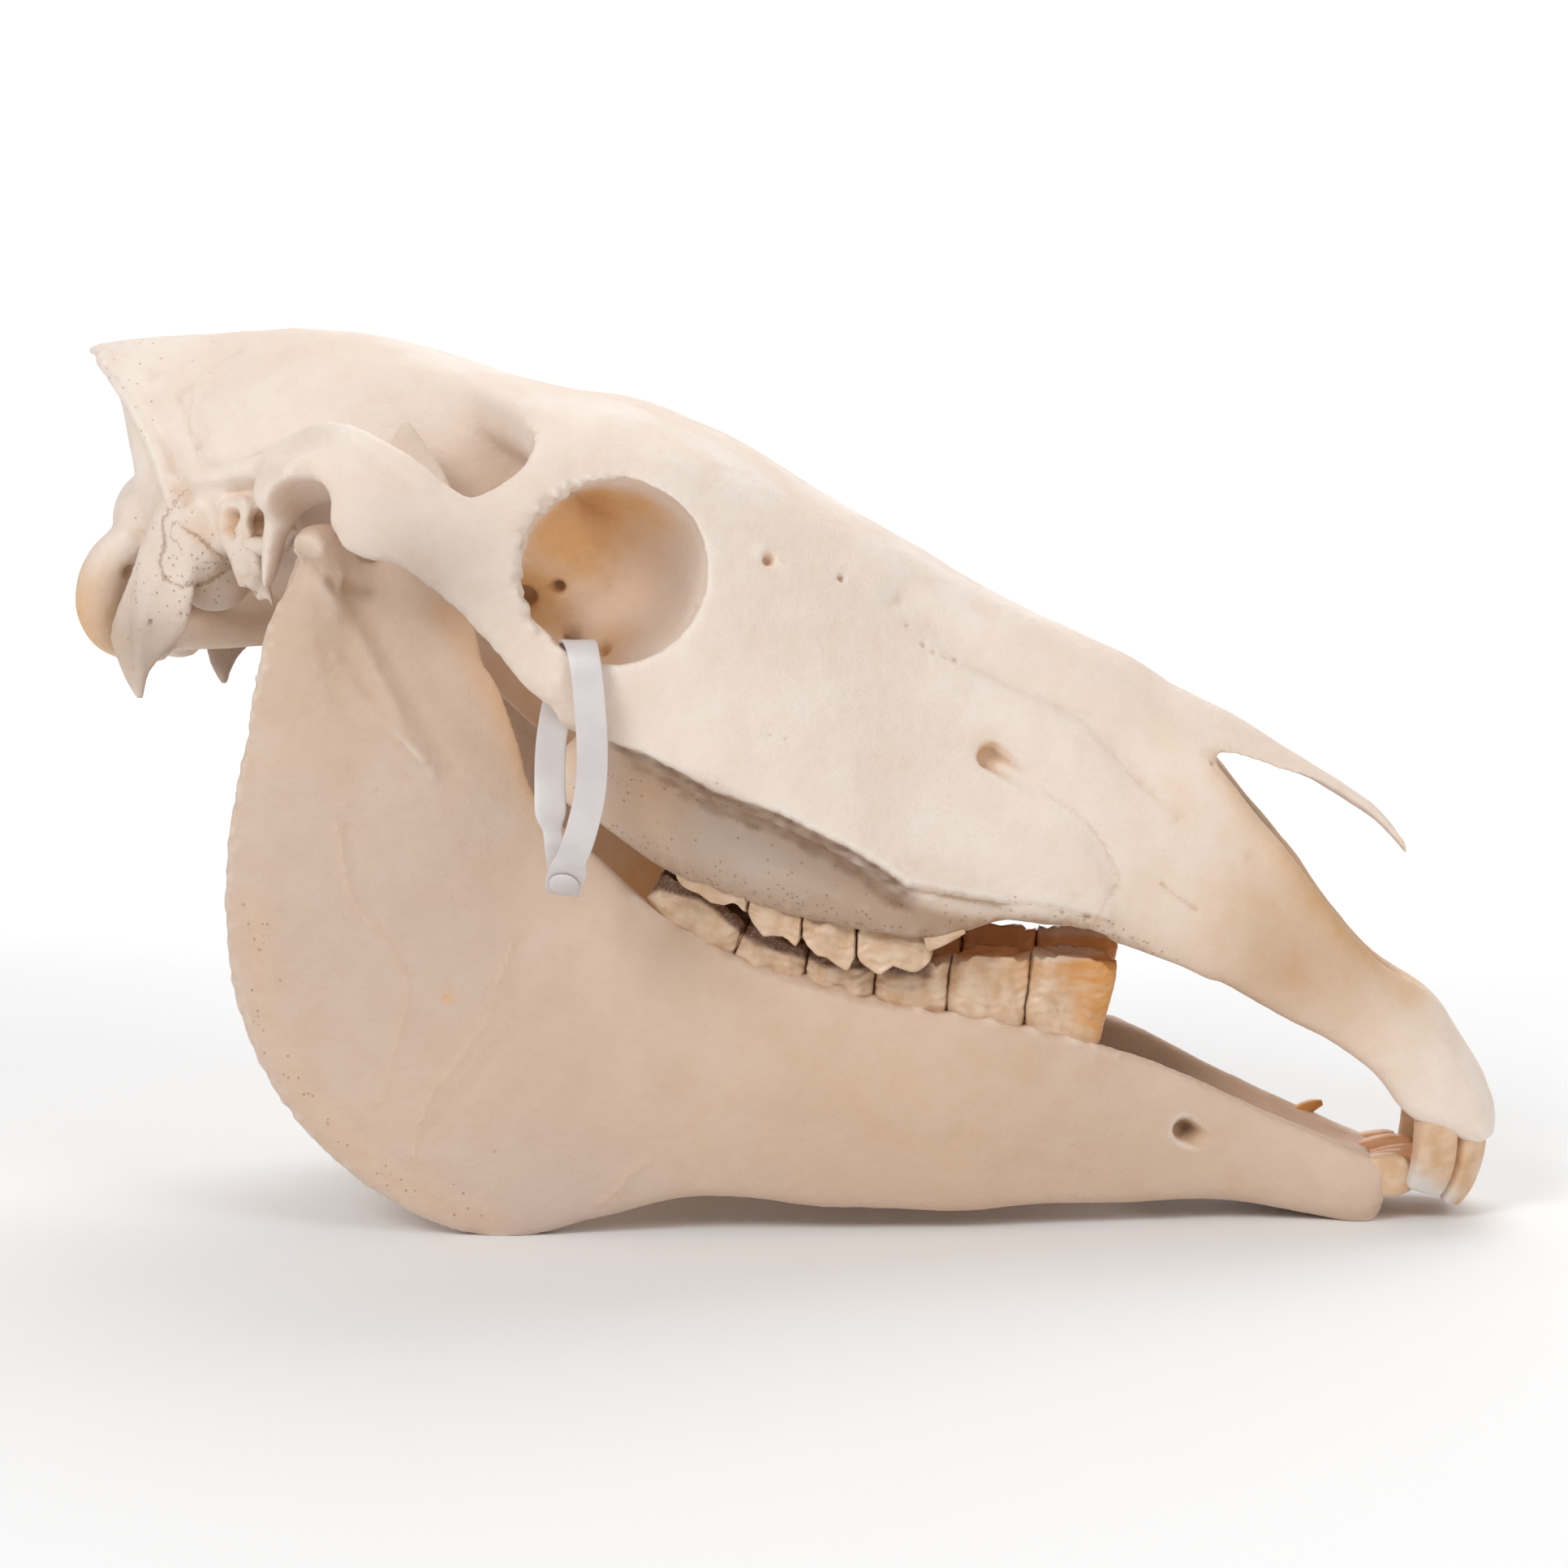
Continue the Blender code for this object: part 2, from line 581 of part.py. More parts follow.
# From its front end at the stud, up outside the arch, over the orbit's rim, and down behind the arch.
BAND_PATH = [
    (-61.0, -92.0, 121.3, 5.6),
    (-59.5, -95.5, 125.5, 6.0),
    (-57.4, -98.6, 130.0, 6.0),
    (-56.0, -100.2, 133.5, BAND_HALF),
    (-52.5, -102.2, 142.0, BAND_HALF),
    (-49.0, -103.6, 155.0, BAND_HALF),
    (-48.0, -103.9, 169.0, BAND_HALF),
    (-48.6, -103.7, 183.0, BAND_HALF),
    (-50.0, -101.9, 194.5, BAND_HALF),
    (-51.8, -98.4, 200.6, BAND_HALF),
    (-54.4, -92.5, 202.2, BAND_HALF),
    (-57.4, -86.6, 199.2, BAND_HALF),
    (-60.6, -83.0, 191.0, BAND_HALF),
    (-63.6, -82.6, 180.0, BAND_HALF),
    (-65.2, -85.0, 168.0, BAND_HALF),
    (-65.0, -89.0, 155.0, BAND_HALF),
    (-64.2, -92.2, 147.0, BAND_HALF),
    (-63.4, -93.9, 142.0, 3.2),
    (-62.2, -95.8, 136.5, 3.4),
    (-60.6, -95.6, 130.2, 4.2),
    (-59.5, -93.2, 126.8, 4.2),
    (-59.9, -90.7, 123.7, 3.6),
]
STUD_AT = (-59.5, -94.4, 126.2)
STUD_TILT = 40
STUD_HEAD = 4.9
STUD_PIN = 1.7
STUD_HOLE = 2.1


# ---------------------------------------------------------------- making the objects


def clear_scene():
    for obj in list(bpy.data.objects):
        bpy.data.objects.remove(obj)


def material(name, colour, roughness):
    made = bpy.data.materials.new(name)
    made.use_nodes = True
    bsdf = made.node_tree.nodes["Principled BSDF"]
    bsdf.inputs["Base Color"].default_value = (*colour, 1)
    bsdf.inputs["Roughness"].default_value = roughness
    bsdf.inputs["Metallic"].default_value = 0
    return made


def collection(name):
    made = bpy.data.collections.new(name)
    bpy.context.scene.collection.children.link(made)
    return made


def add_object(name, shells, home):
    """One mesh object from closed shells, which may run into each other."""
    points, faces, base = [], [], 0
    for some, sides in shells:
        points.append(some)
        faces += [[base + i for i in side] for side in sides]
        base += len(some)
    mesh = bpy.data.meshes.new(name)
    mesh.from_pydata(((np.concatenate(points) + SHIFT) * MM).tolist(), [], faces)
    obj = bpy.data.objects.new(name, mesh)
    home.objects.link(obj)
    return obj


def remesh(obj):
    modifier = obj.modifiers.new("fuse", "REMESH")
    modifier.mode = "VOXEL"
    modifier.voxel_size = VOXEL * MM


def smooth(obj, repeats):
    modifier = obj.modifiers.new("smooth", "SMOOTH")
    modifier.factor = 0.5
    modifier.iterations = repeats


def cut(obj, cutter):
    modifier = obj.modifiers.new("cut " + cutter.name, "BOOLEAN")
    modifier.operation = "DIFFERENCE"
    modifier.object = cutter
    cutter.hide_render = True
    cutter.display_type = "WIRE"


def thin_out(obj, faces):
    """Fewer, larger triangles, as many as `faces`."""
    evaluated = obj.evaluated_get(bpy.context.evaluated_depsgraph_get())
    have = sum(len(p.vertices) - 2 for p in evaluated.to_mesh().polygons)
    evaluated.to_mesh_clear()
    obj.modifiers.new("thin out", "DECIMATE").ratio = faces / have


def floor_cutter(home):
    """A block under the floor, which leaves small flats where the mandible touches it."""
    mesh = bpy.data.meshes.new("floor")
    block = bmesh.new()
    bmesh.ops.create_cube(block, size=1.0)
    block.to_mesh(mesh)
    block.free()
    mesh.transform(Matrix.Translation((0, 0, -0.05)) @ Matrix.Diagonal((0.8, 0.4, 0.1, 1)))
    obj = bpy.data.objects.new("floor", mesh)
    home.objects.link(obj)
    return obj


def pin_cutter(home):
    """A bar through both ends of the strap, along the stud."""
    mesh = bpy.data.meshes.new("pin")
    bar = bmesh.new()
    radius = STUD_HOLE * MM
    bmesh.ops.create_cone(bar, cap_ends=True, segments=16, radius1=radius, radius2=radius, depth=0.02)
    bar.to_mesh(mesh)
    bar.free()
    obj = bpy.data.objects.new("pin", mesh)
    place_on_stud(obj)
    home.objects.link(obj)
    return obj


def place_on_stud(obj):
    """Turns the object's +Z out of the strap's face, and puts it at the stud."""
    obj.location = (Vector(STUD_AT) + Vector(SHIFT)) * MM
    obj.rotation_euler = (radians(90 + STUD_TILT), 0, 0)


def stud(home):
    """Turned from its profile: a low round head in front, the pin, and a smaller head behind."""
    front, back = 2.3, -2.3
    profile = [
        (0, front + 1.6),
        (3.6, front + 1.4),
        (STUD_HEAD, front + 0.7),
        (STUD_HEAD, front),
        (STUD_PIN, front),
        (STUD_PIN, back),
        (3.4, back),
        (3.4, back - 1.2),
        (0, back - 1.4),
    ]
    mesh = bpy.data.meshes.new("tag_stud")
    edges = [(i, i + 1) for i in range(len(profile) - 1)]
    mesh.from_pydata([(x * MM, 0, z * MM) for x, z in profile], edges, [])
    obj = bpy.data.objects.new("tag_stud", mesh)
    home.objects.link(obj)
    turn = obj.modifiers.new("turn", "SCREW")
    turn.steps = turn.render_steps = 20
    turn.use_merge_vertices = True
    turn.merge_threshold = 0.00001
    place_on_stud(obj)
    return obj


def build():
    clear_scene()
    skull = collection("horse_skull")
    cutters = collection("cutters")
    bone = material("bone", BONE, 0.55)
    plastic = material("strap_plastic", PLASTIC, 0.35)

    cranium = add_object(
        "cranium",
        [
            body_loft(FACE.values(), np.linspace(-62, 148, 44), 64),
            body_loft(ROOF.values(), np.linspace(-112, -28, 20), 40),
            body_loft(BRAINCASE.values(), np.linspace(-234, -56, 34), 44),
            body_loft(MUZZLE.values(), np.linspace(112, 240, 34), 36),
            nasal_end(),
            *mirrored(ribbon(ARCH), ribbon(ORBIT_BAR), limb(ARCH_ROOT, side=(1, 0, 0))),
            *nuchal_end(),
            *hind_processes(),
            *throat(),
            *upper_cheek_teeth(),
            *upper_incisors(),
        ],
        skull,
    )
    remesh(cranium)
    hollows = add_object(
        "hollows",
        [
            *mirrored(orbit_hollow(), temple_hollow(), joint_hollow()),
            nasal_hollow(),
            choana_hollow(),
            foramen_magnum(),
            *empty_sockets(),
        ],
        cutters,
    )
    remesh(hollows)
    cut(cranium, hollows)
    remesh(cranium)
    smooth(cranium, 3)
    thin_out(cranium, CRANIUM_FACES)

    mandible = add_object("mandible", [*jaw_halves(), chin(), *lower_incisors(), *lower_cheek_teeth()], skull)
    remesh(mandible)
    smooth(mandible, 3)
    thin_out(mandible, MANDIBLE_FACES)
    cut(mandible, floor_cutter(cutters))

    path = [(x, y, z, half, BAND_THICK / 2) for x, y, z, half in BAND_PATH]
    strap = add_object("tag_strap", [limb(path, count=8, steps=3, side=(1, 0, 0), square=0.4)], skull)
    cut(strap, pin_cutter(cutters))
    button = stud(skull)

    for obj, finish in ((cranium, bone), (mandible, bone), (strap, plastic), (button, plastic)):
        obj.data.materials.append(finish)


build()
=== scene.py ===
from math import pi, radians

import bpy
import numpy as np
from mathutils import Euler, Matrix, Vector


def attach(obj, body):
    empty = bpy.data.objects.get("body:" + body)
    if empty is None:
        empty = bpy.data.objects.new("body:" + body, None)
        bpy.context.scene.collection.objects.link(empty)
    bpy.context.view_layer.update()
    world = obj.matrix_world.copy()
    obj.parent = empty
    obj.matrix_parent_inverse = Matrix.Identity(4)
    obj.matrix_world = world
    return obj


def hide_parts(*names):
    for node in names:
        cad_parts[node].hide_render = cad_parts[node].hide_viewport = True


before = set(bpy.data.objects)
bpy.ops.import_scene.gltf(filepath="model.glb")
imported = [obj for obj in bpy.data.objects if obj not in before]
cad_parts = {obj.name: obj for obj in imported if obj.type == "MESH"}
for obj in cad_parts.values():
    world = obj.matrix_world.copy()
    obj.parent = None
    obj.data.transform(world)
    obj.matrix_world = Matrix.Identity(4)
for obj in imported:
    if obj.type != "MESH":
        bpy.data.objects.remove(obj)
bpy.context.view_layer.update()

# ---------------------------------------------------------------- cranium
# The upper skull of a horse: one bleached, dry bone, grown together from the face, the braincase and the two
# arches beside the eyes. It is worked out as smooth lofts in millimetres, fused into one skin, hollowed, and
# then carved with creases, ridges, pits and cracks.

MM = 0.001
# The part's solids are moved by this much from the skull's own measures, so the pieces here are too.
SHIFT = (1.1, 0.0, -0.7)
# Side of the grid that fuses the lofts into one skin.
GRAIN = 1.25


def along(knots, at):
    """Smooth values at the places `at`, by cubic arcs through rows of (place, value, value, ...)."""
    rows = np.array(knots, float)
    where, values = rows[:, 0], rows[:, 1:]
    at = np.clip(np.atleast_1d(at), where[0], where[-1])
    slope = np.gradient(values, where, axis=0)
    i = np.clip(np.searchsorted(where, at) - 1, 0, len(where) - 2)
    step = (where[i + 1] - where[i])[:, None]
    t = (at - where[i])[:, None] / step
    return (
        (2 * t**3 - 3 * t**2 + 1) * values[i]
        + (t**3 - 2 * t**2 + t) * step * slope[i]
        + (3 * t**2 - 2 * t**3) * values[i + 1]
        + (t**3 - t**2) * step * slope[i + 1]
    )


def finer(knots, steps):
    """Smooth rows between the given rows, `steps` for each of them."""
    rows = np.column_stack([np.arange(len(knots)), np.array(knots, float)])
    return along(rows, np.linspace(0, len(knots) - 1, (len(knots) - 1) * steps + 1))


def round_rings(corners, count):
    """Closed smooth rings of `count` points through each row of corner points, by Catmull-Rom arcs."""
    many = corners.shape[1]
    place = np.arange(count) * many / count
    i = place.astype(int)
    t = (place - i)[None, :, None]
    before, here, after, beyond = (corners[:, (i + k) % many] for k in (-1, 0, 1, 2))
    return 0.5 * (
        2 * here
        + (after - before) * t
        + (2 * before - 5 * here + 4 * after - beyond) * t**2
        + (3 * here - before - 3 * after + beyond) * t**3
    )


def superellipse(count, square):
    """Points round a circle: cosine and sine, each to the power `square`, which squares it up below 1."""
    angle = np.arange(count) * 2 * pi / count
    c, s = np.cos(angle), np.sin(angle)
    return np.sign(c) * np.abs(c) ** square, np.sign(s) * np.abs(s) ** square


def shell(rings):
    """A closed surface (points, faces) from rings of equal size, capped at both ends, its faces outwards."""
    many, count = rings.shape[:2]
    index = np.arange(many * count).reshape(many, count)
    turned = np.roll(index, -1, axis=1)
    sides = np.stack([index[:-1], turned[:-1], turned[1:], index[1:]], -1).reshape(-1, 4)
    faces = sides.tolist() + [index[0, ::-1].tolist(), index[-1].tolist()]
    points = rings.reshape(-1, 3)
    a, b, c, d = (points[sides[:, k]] - points.mean(axis=0) for k in range(4))
    if np.sum(a * np.cross(b, c)) + np.sum(a * np.cross(c, d)) < 0:
        faces = [face[::-1] for face in faces]
    return points, faces


def body_loft(rails, places, count):
    """A symmetric body from rails, rows of (x, half width, height), listed from the top midline down."""
    sides = [along(rail, places) for rail in rails]
    x = np.array(places, float)
    left = np.stack([np.column_stack([x, s[:, 0], s[:, 1]]) for s in sides], 1)
    right = left[:, -2:0:-1] * [1, -1, 1]
    return shell(round_rings(np.concatenate([left, right], 1), count))


def ribbon(knots, count=28, steps=6, square=0.6):
    """A plate between two edges: rows of (one edge x, y, z, other edge x, y, z, three thicknesses)."""
    rows = finer(knots, steps)
    over, out = superellipse(count, square)
    down = (0.5 - 0.5 * over)[None, :, None]
    first, other = rows[:, None, 0:3], rows[:, None, 3:6]
    thick = (
        rows[:, None, 6:7] * np.clip(1 - 2 * down, 0, 1)
        + rows[:, None, 7:8] * (1 - np.abs(1 - 2 * down))
        + rows[:, None, 8:9] * np.clip(2 * down - 1, 0, 1)
    )
    rings = first * (1 - down) + other * down
    rings[..., 1:2] += 0.5 * thick * out[None, :, None]
    return shell(rings)


def limb(knots, count=28, steps=6, side=(0, 1, 0), square=1.0):
    """A bar along rows of (x, y, z, half size along `side`, half size across it)."""
    rows = finer(knots, steps)
    path = rows[:, :3]
    ahead = np.gradient(path, axis=0)
    ahead /= np.linalg.norm(ahead, axis=1, keepdims=True)
    side = np.array(side, float)
    wide = side - ahead * (ahead @ side)[:, None]
    wide /= np.linalg.norm(wide, axis=1, keepdims=True)
    tall = np.cross(ahead, wide)
    c, s = superellipse(count, square)
    return shell(
        path[:, None]
        + wide[:, None] * (rows[:, None, 3:4] * c[None, :, None])
        + tall[:, None] * (rows[:, None, 4:5] * s[None, :, None])
    )


def lump(centre, radii, turn=(0, 0, 0), count=20):
    """An ellipsoid, turned by degrees about X, Y and Z."""
    polar = np.linspace(0.02, pi - 0.02, count)[:, None]
    angle = np.arange(count * 2) * pi / count
    flat = np.sin(polar)
    ball = np.stack([flat * np.cos(angle), flat * np.sin(angle), np.cos(polar) + 0 * angle], -1)
    spin = np.array(Euler([radians(a) for a in turn]).to_matrix())
    return shell((ball * np.array(radii, float)) @ spin.T + np.array(centre, float))


def lying_tube(knots, stations, count=32, square=1.0):
    """A tube lengthwise through rows of (x, top, underside, half width), centred on the midline."""
    x = np.linspace(knots[0][0], knots[-1][0], stations)
    top, low, wide = along(knots, x).T[:, :, None]
    c, s = superellipse(count, square)
    return shell(np.stack([x[:, None] + 0 * c, wide * c, (top + low) / 2 + (top - low) / 2 * s], -1))


def mirrored(*shells):
    """Each left-side shell and its right-side twin, whose faces are turned round again."""
    twins = [(points * [1, -1, 1], [f[::-1] for f in faces]) for points, faces in shells]
    return [*shells, *twins]


# Rails of the face, from the dorsal midline down to the palate: (x, half width, height).
FACE = {
    "dorsum": [
        (-62, 0, 285), (-50, 0, 283), (-28, 0, 274), (17, 0, 248), (61, 0, 222), (84, 0, 209),
        (128, 0, 187), (148, 0, 172),
    ],
    "brow": [(-62, 60, 279), (-28, 57, 267), (17, 41, 243), (61, 27, 217), (106, 19, 194), (148, 12, 167)],
    "orbit_top": [
        (-62, 84, 260), (-50, 86, 258), (-28, 81, 251), (17, 60, 221), (61, 39, 197), (106, 29, 177),
        (148, 20, 154),
    ],
    "cheek": [(-62, 97, 225), (-28, 91, 213), (17, 74, 185), (61, 52, 162), (106, 38, 145), (148, 28, 128)],
    "crest": [
        (-62, 97, 180), (-43, 95, 170.5), (-32, 92.5, 165.5), (-12, 88, 154.5), (8.6, 82, 145.8),
        (19.5, 78.5, 140), (30, 74.5, 134), (38.5, 70.5, 128.5), (48.5, 65, 120.5), (72, 55.5, 116.5),
        (93, 49, 113), (111, 43, 107.5), (148, 31, 95),
    ],
    "under_crest": [
        (-62, 66, 171), (-32, 66.5, 156), (-12, 66, 145.5), (8.6, 65, 137), (30, 63, 126.5),
        (48.5, 59, 115.5), (72, 53.5, 112.5), (96, 46, 110), (117, 40, 102), (148, 30, 88),
    ],
    "sockets": [
        (-62, 50, 144), (-32, 55, 125), (-6, 57, 115), (32, 57, 105), (52, 55.5, 101.5), (66, 52, 104),
        (78, 50, 107.5), (91, 46.5, 105.5), (105, 42.5, 103.5), (117, 39, 99), (128, 35, 93.5),
        (148, 28, 83),
    ],
    "palate_edge": [
        (-62, 31, 147), (-32, 33, 127), (-6, 34, 117), (32, 33, 107), (66, 31, 106), (91, 28, 106),
        (117, 22, 99), (148, 17, 86),
    ],
    "palate": [
        (-62, 0, 160), (-6, 0, 130), (32, 0, 119), (66, 0, 118), (93, 0, 119), (117, 0, 107), (148, 0, 92),
    ],
}

# Rails of the frontal roof, which narrows from the orbits back to the braincase.
ROOF = {
    "midline": [(-112, 0, 298), (-97, 0, 293), (-74, 0, 287), (-50, 0, 283), (-28, 0, 274)],
    "brow": [
        (-112, 24, 294), (-97, 34, 288), (-82, 47, 283), (-66, 59, 279), (-50, 62, 276), (-28, 57, 267),
    ],
    "edge": [
        (-112, 36, 286), (-97, 43, 281), (-84, 57, 276), (-72, 75, 270), (-58, 86, 261), (-28, 80, 251),
    ],
    "under_edge": [
        (-112, 34, 276), (-97, 39, 270), (-84, 50, 265), (-72, 68, 259), (-58, 80, 251), (-28, 74, 243),
    ],
    "under": [(-112, 0, 270), (-84, 0, 262), (-28, 0, 240)],
}

# Rails of the braincase, from the crown down to the skull base.
BRAINCASE = {
    "crown": [
        (-247, 0, 305), (-234, 0, 307), (-214, 0, 308.5), (-190, 0, 309), (-166, 0, 309), (-143, 0, 307),
        (-120, 0, 301), (-97, 0, 293), (-56, 0, 270),
    ],
    "temple_line": [
        (-247, 3, 304.4), (-234, 13, 304), (-200, 10, 305), (-166, 15, 305), (-143, 22, 302),
        (-120, 29, 296), (-97, 36, 286), (-56, 28, 262),
    ],
    "temple": [
        (-247, 4, 303.6), (-234, 20, 298), (-214, 28, 288), (-200, 31, 286), (-166, 40, 287),
        (-143, 45, 283), (-120, 46, 277), (-97, 43, 266), (-56, 30, 250),
    ],
    "side": [
        (-247, 3.5, 302.9), (-234, 18, 296), (-214, 40, 270), (-200, 48, 262), (-166, 53, 260),
        (-143, 52, 256), (-120, 48, 250), (-97, 42, 242), (-56, 31, 230),
    ],
    "base_edge": [
        (-247, 2.5, 302.3), (-234, 10, 295), (-214, 40, 246), (-200, 46, 238), (-166, 48, 230),
        (-143, 44, 226), (-120, 38, 220), (-97, 32, 213), (-56, 27, 205),
    ],
    "base": [
        (-247, 0, 302), (-234, 0, 295), (-214, 0, 236), (-200, 0, 215), (-166, 0, 208), (-143, 0, 206),
        (-120, 0, 203), (-97, 0, 198), (-56, 0, 192),
    ],
}

# Rails of the incisive bone and the maxilla in front of the cheek teeth.
MUZZLE = {
    "bridge": [
        (112, 0, 176), (150, 0, 150), (171, 0, 124), (192, 0, 98), (204, 0, 84), (215, 0, 79), (226, 0, 71),
        (233, 0, 61), (238, 0, 51.5), (242.5, 0, 38),
    ],
    "top": [
        (112, 20, 170), (130, 24.5, 163.5), (146, 26.3, 157), (152, 26, 151), (160, 25, 141), (171, 23, 129),
        (192, 19, 101), (204, 15, 88.5), (215, 12, 80.5), (226, 9, 72), (233, 7, 60.5), (238, 7, 51),
        (242.5, 6, 37.8),
    ],
    "side": [
        (112, 37, 130), (150, 32, 115), (171, 28, 98), (192, 25, 80), (204, 25, 70), (215, 26, 58),
        (226, 25, 52), (233, 22, 47), (238, 19, 42), (242.5, 12, 36),
    ],
    "low": [
        (112, 36, 99), (150, 29, 84), (171, 26, 71), (192, 23, 59), (204, 24, 49), (211, 26, 40),
        (226, 25, 33), (233, 21.5, 28.5), (238, 18, 27.5),
        (242.5, 11, 28.5),
    ],
    "floor": [
        (112, 0, 108), (150, 0, 92), (171, 0, 80), (192, 0, 68), (204, 0, 60), (215, 0, 46), (226, 0, 35),
        (238, 0, 28), (242.5, 0, 28.5),
    ],
}

# Zygomatic arch: upper edge, lower edge, thicknesses, from the temporal root forward under the orbit.
ARCH = [
    (-163, 58, 266, -158, 66, 247, 8, 12, 8),
    (-148, 74, 272.5, -147, 83, 245, 8, 12, 8),
    (-135, 85, 273.5, -135, 92, 240, 8, 11, 9),
    (-122, 92, 271, -126, 95, 232, 8, 11, 9),
    (-106, 97.5, 262, -108, 98.5, 225, 8, 11, 8),
    (-90, 100, 250, -92, 99, 213, 8, 11, 8),
    (-76, 98, 243, -80, 98, 200, 9, 11, 8),
    (-66, 95, 224, -71, 95, 188, 9, 11, 9),
    (-54, 91, 203, -59, 92, 178, 10, 12, 9),
    (-38, 86, 192, -43, 88, 172, 12, 13, 9),
]
# Bar behind the orbit: hind edge, orbital edge, thicknesses, from the frontal bone down to the arch.
ORBIT_BAR = [
    (-82, 56, 277, -42, 66, 264, 10, 13, 10),
    (-75, 74, 273, -44, 80, 256, 8, 12, 8),
    (-69, 86, 267, -51, 88, 250, 7, 11, 7),
    (-70, 94, 258, -58, 92, 243, 7, 10, 7),
    (-79, 98, 251, -66, 96, 233, 7, 10, 7),
    (-93, 98, 246, -73, 97, 222, 7, 10, 8),
]
# Hind root of the arch, from the braincase outwards: centre, half length, half height.
ARCH_ROOT = [
    (-148, 38, 258, 22, 12), (-148, 56, 258, 20, 11), (-145, 74, 256.5, 17, 9.5), (-136, 90, 255, 14, 9),
]
# Rounded hind end of the maxilla, behind the last tooth: centre, radii.
MAXILLA_END = (-60, 53, 156), (11, 10, 13)

# Free end of the nasal bones: x, height of the midline, height of the side edge, half width.
NASAL_END = [
    (112, 195, 172, 24),
    (130, 185, 164, 23.5),
    (146, 176.5, 157.5, 21),
    (153, 173, 155.5, 18.5),
    (160, 169, 153.5, 15.5),
    (171, 162, 150, 12),
    (182, 155, 147.5, 9),
    (193, 148, 142, 6.4),
    (204, 140, 133.5, 4.6),
    (215, 127.5, 121, 3),
]
NASAL_THICK = 6.0


def nasal_end():
    """An arched plate along X, whose edges hang below its midline and which narrows to one thin tip."""
    x = np.linspace(NASAL_END[0][0], NASAL_END[-1][0], 48)
    top, edge, wide = along(NASAL_END, x).T[:, :, None]
    c, s = superellipse(28, 1.0)
    middle = top - NASAL_THICK / 2 - np.maximum(top - edge - NASAL_THICK, 0) * c**2
    return shell(np.stack([x[:, None] + 0 * c, wide * c, middle + NASAL_THICK / 2 * s], -1))


def nuchal_end():
    """Back wall under the nuchal crest, with the boss over the spinal opening and the skull base."""
    wall = limb(
        [
            (-242, 0, 303, 8, 2.2),
            (-237, 0, 299.5, 20, 3.6),
            (-227, 0, 291.5, 31, 5.5),
            (-214, 0, 279, 40, 8),
            (-206, 0, 266, 45, 9),
            (-203, 0, 252, 49, 10),
            (-204, 0, 238, 51, 13),
            (-203, 0, 224, 45, 13),
        ],
        square=0.9,
    )
    boss = lump((-217, 0, 243), (18, 41, 20))
    base = limb(
        [(-224, 0, 206, 22, 8), (-200, 0, 206, 19, 9), (-170, 0, 207, 17, 9), (-130, 0, 203, 15, 8),
         (-90, 0, 198, 12, 8), (-50, 0, 190, 10, 7)]
    )
    return [wall, boss, base]


def hind_processes():
    """Neck condyles, hooks beside them, mastoid plates, ear bones and the stops behind the jaw joints."""
    condyle = limb(
        [(-216, 37, 238, 8, 8), (-227, 34, 228, 11, 10), (-232, 29, 214, 13, 11), (-230, 20, 204, 12, 9),
         (-218, 11, 200, 8, 7)]
    )
    hook = ribbon(
        [
            (-204, 50, 254, -188, 55, 246, 9, 10, 8),
            (-213, 52, 232, -190, 57, 230, 7, 9, 6),
            (-221, 51, 214, -193, 56, 213, 6, 8, 4),
            (-225, 49, 205, -196, 53, 205, 5, 8, 3.5),
            (-224.5, 48, 199, -202.5, 51, 199, 5, 7.5, 3.5),
            (-223, 47, 194, -208.5, 49, 194, 5, 7, 3.5),
            (-221, 46, 188.5, -212.5, 47.5, 188.5, 4.5, 5.5, 3.5),
            (-217, 45, 181, -214.5, 46, 181, 3, 3.5, 2.5),
        ]
    )
    mastoid = lump((-194, 51.5, 236), (12, 7, 14), (0, -10, 0))
    ridge = limb(
        [(-158, 60, 261, 6, 5), (-174, 57, 258, 5, 4), (-192, 52, 256, 5, 4), (-208, 45, 258, 4, 4)]
    )
    ear_bone = ribbon(
        [
            (-184, 52, 250, -166, 56, 250, 10, 14, 10),
            (-182, 55, 241, -165, 60, 240, 9, 14, 9),
            (-180, 55, 230, -166, 58, 230, 8, 12, 8),
            (-178, 53, 222, -168, 55, 221, 6, 9, 5),
            (-175, 52, 216, -169, 53, 214, 3, 5, 2.5),
        ]
    )
    spine = limb([(-168, 55, 226, 2, 3), (-167, 55, 219, 1.6, 2.2), (-165.5, 55, 213, 1.2, 1.5)])
    jaw_stop = limb(
        [(-153, 68, 258, 10, 11), (-155.5, 68, 250, 7.5, 10), (-158.5, 67.5, 242, 5, 9),
         (-161, 67, 234, 3.4, 7.5), (-162.3, 67, 227, 2.6, 6), (-163.8, 66.5, 219.5, 1.3, 4)],
        side=(1, 0, 0),
    )
    joint_wall = lump((-148, 77, 251), (16, 14, 11))
    hook_root = lump((-191, 38, 223), (13, 10, 12))
    return mirrored(condyle, hook, mastoid, ridge, ear_bone, spine, jaw_stop, joint_wall, hook_root)


def throat():
    """Plates beside the hind nasal openings, with their small hooks."""
    plate = ribbon(
        [
            (-128, 20, 210, -124, 17, 196, 6, 6, 4),
            (-100, 24, 212, -98, 21, 182, 7, 6, 4),
            (-76, 28, 205, -74, 24, 160, 8, 6, 5),
            (-54, 30, 190, -52, 27, 138, 10, 8, 6),
            (-34, 32, 176, -32, 30, 128, 10, 10, 8),
        ]
    )
    hamulus = limb([(-72, 24, 166, 3, 4), (-70, 25, 154, 2.5, 3.5), (-64, 27, 146, 2, 2.5)])
    return mirrored(plate, hamulus)


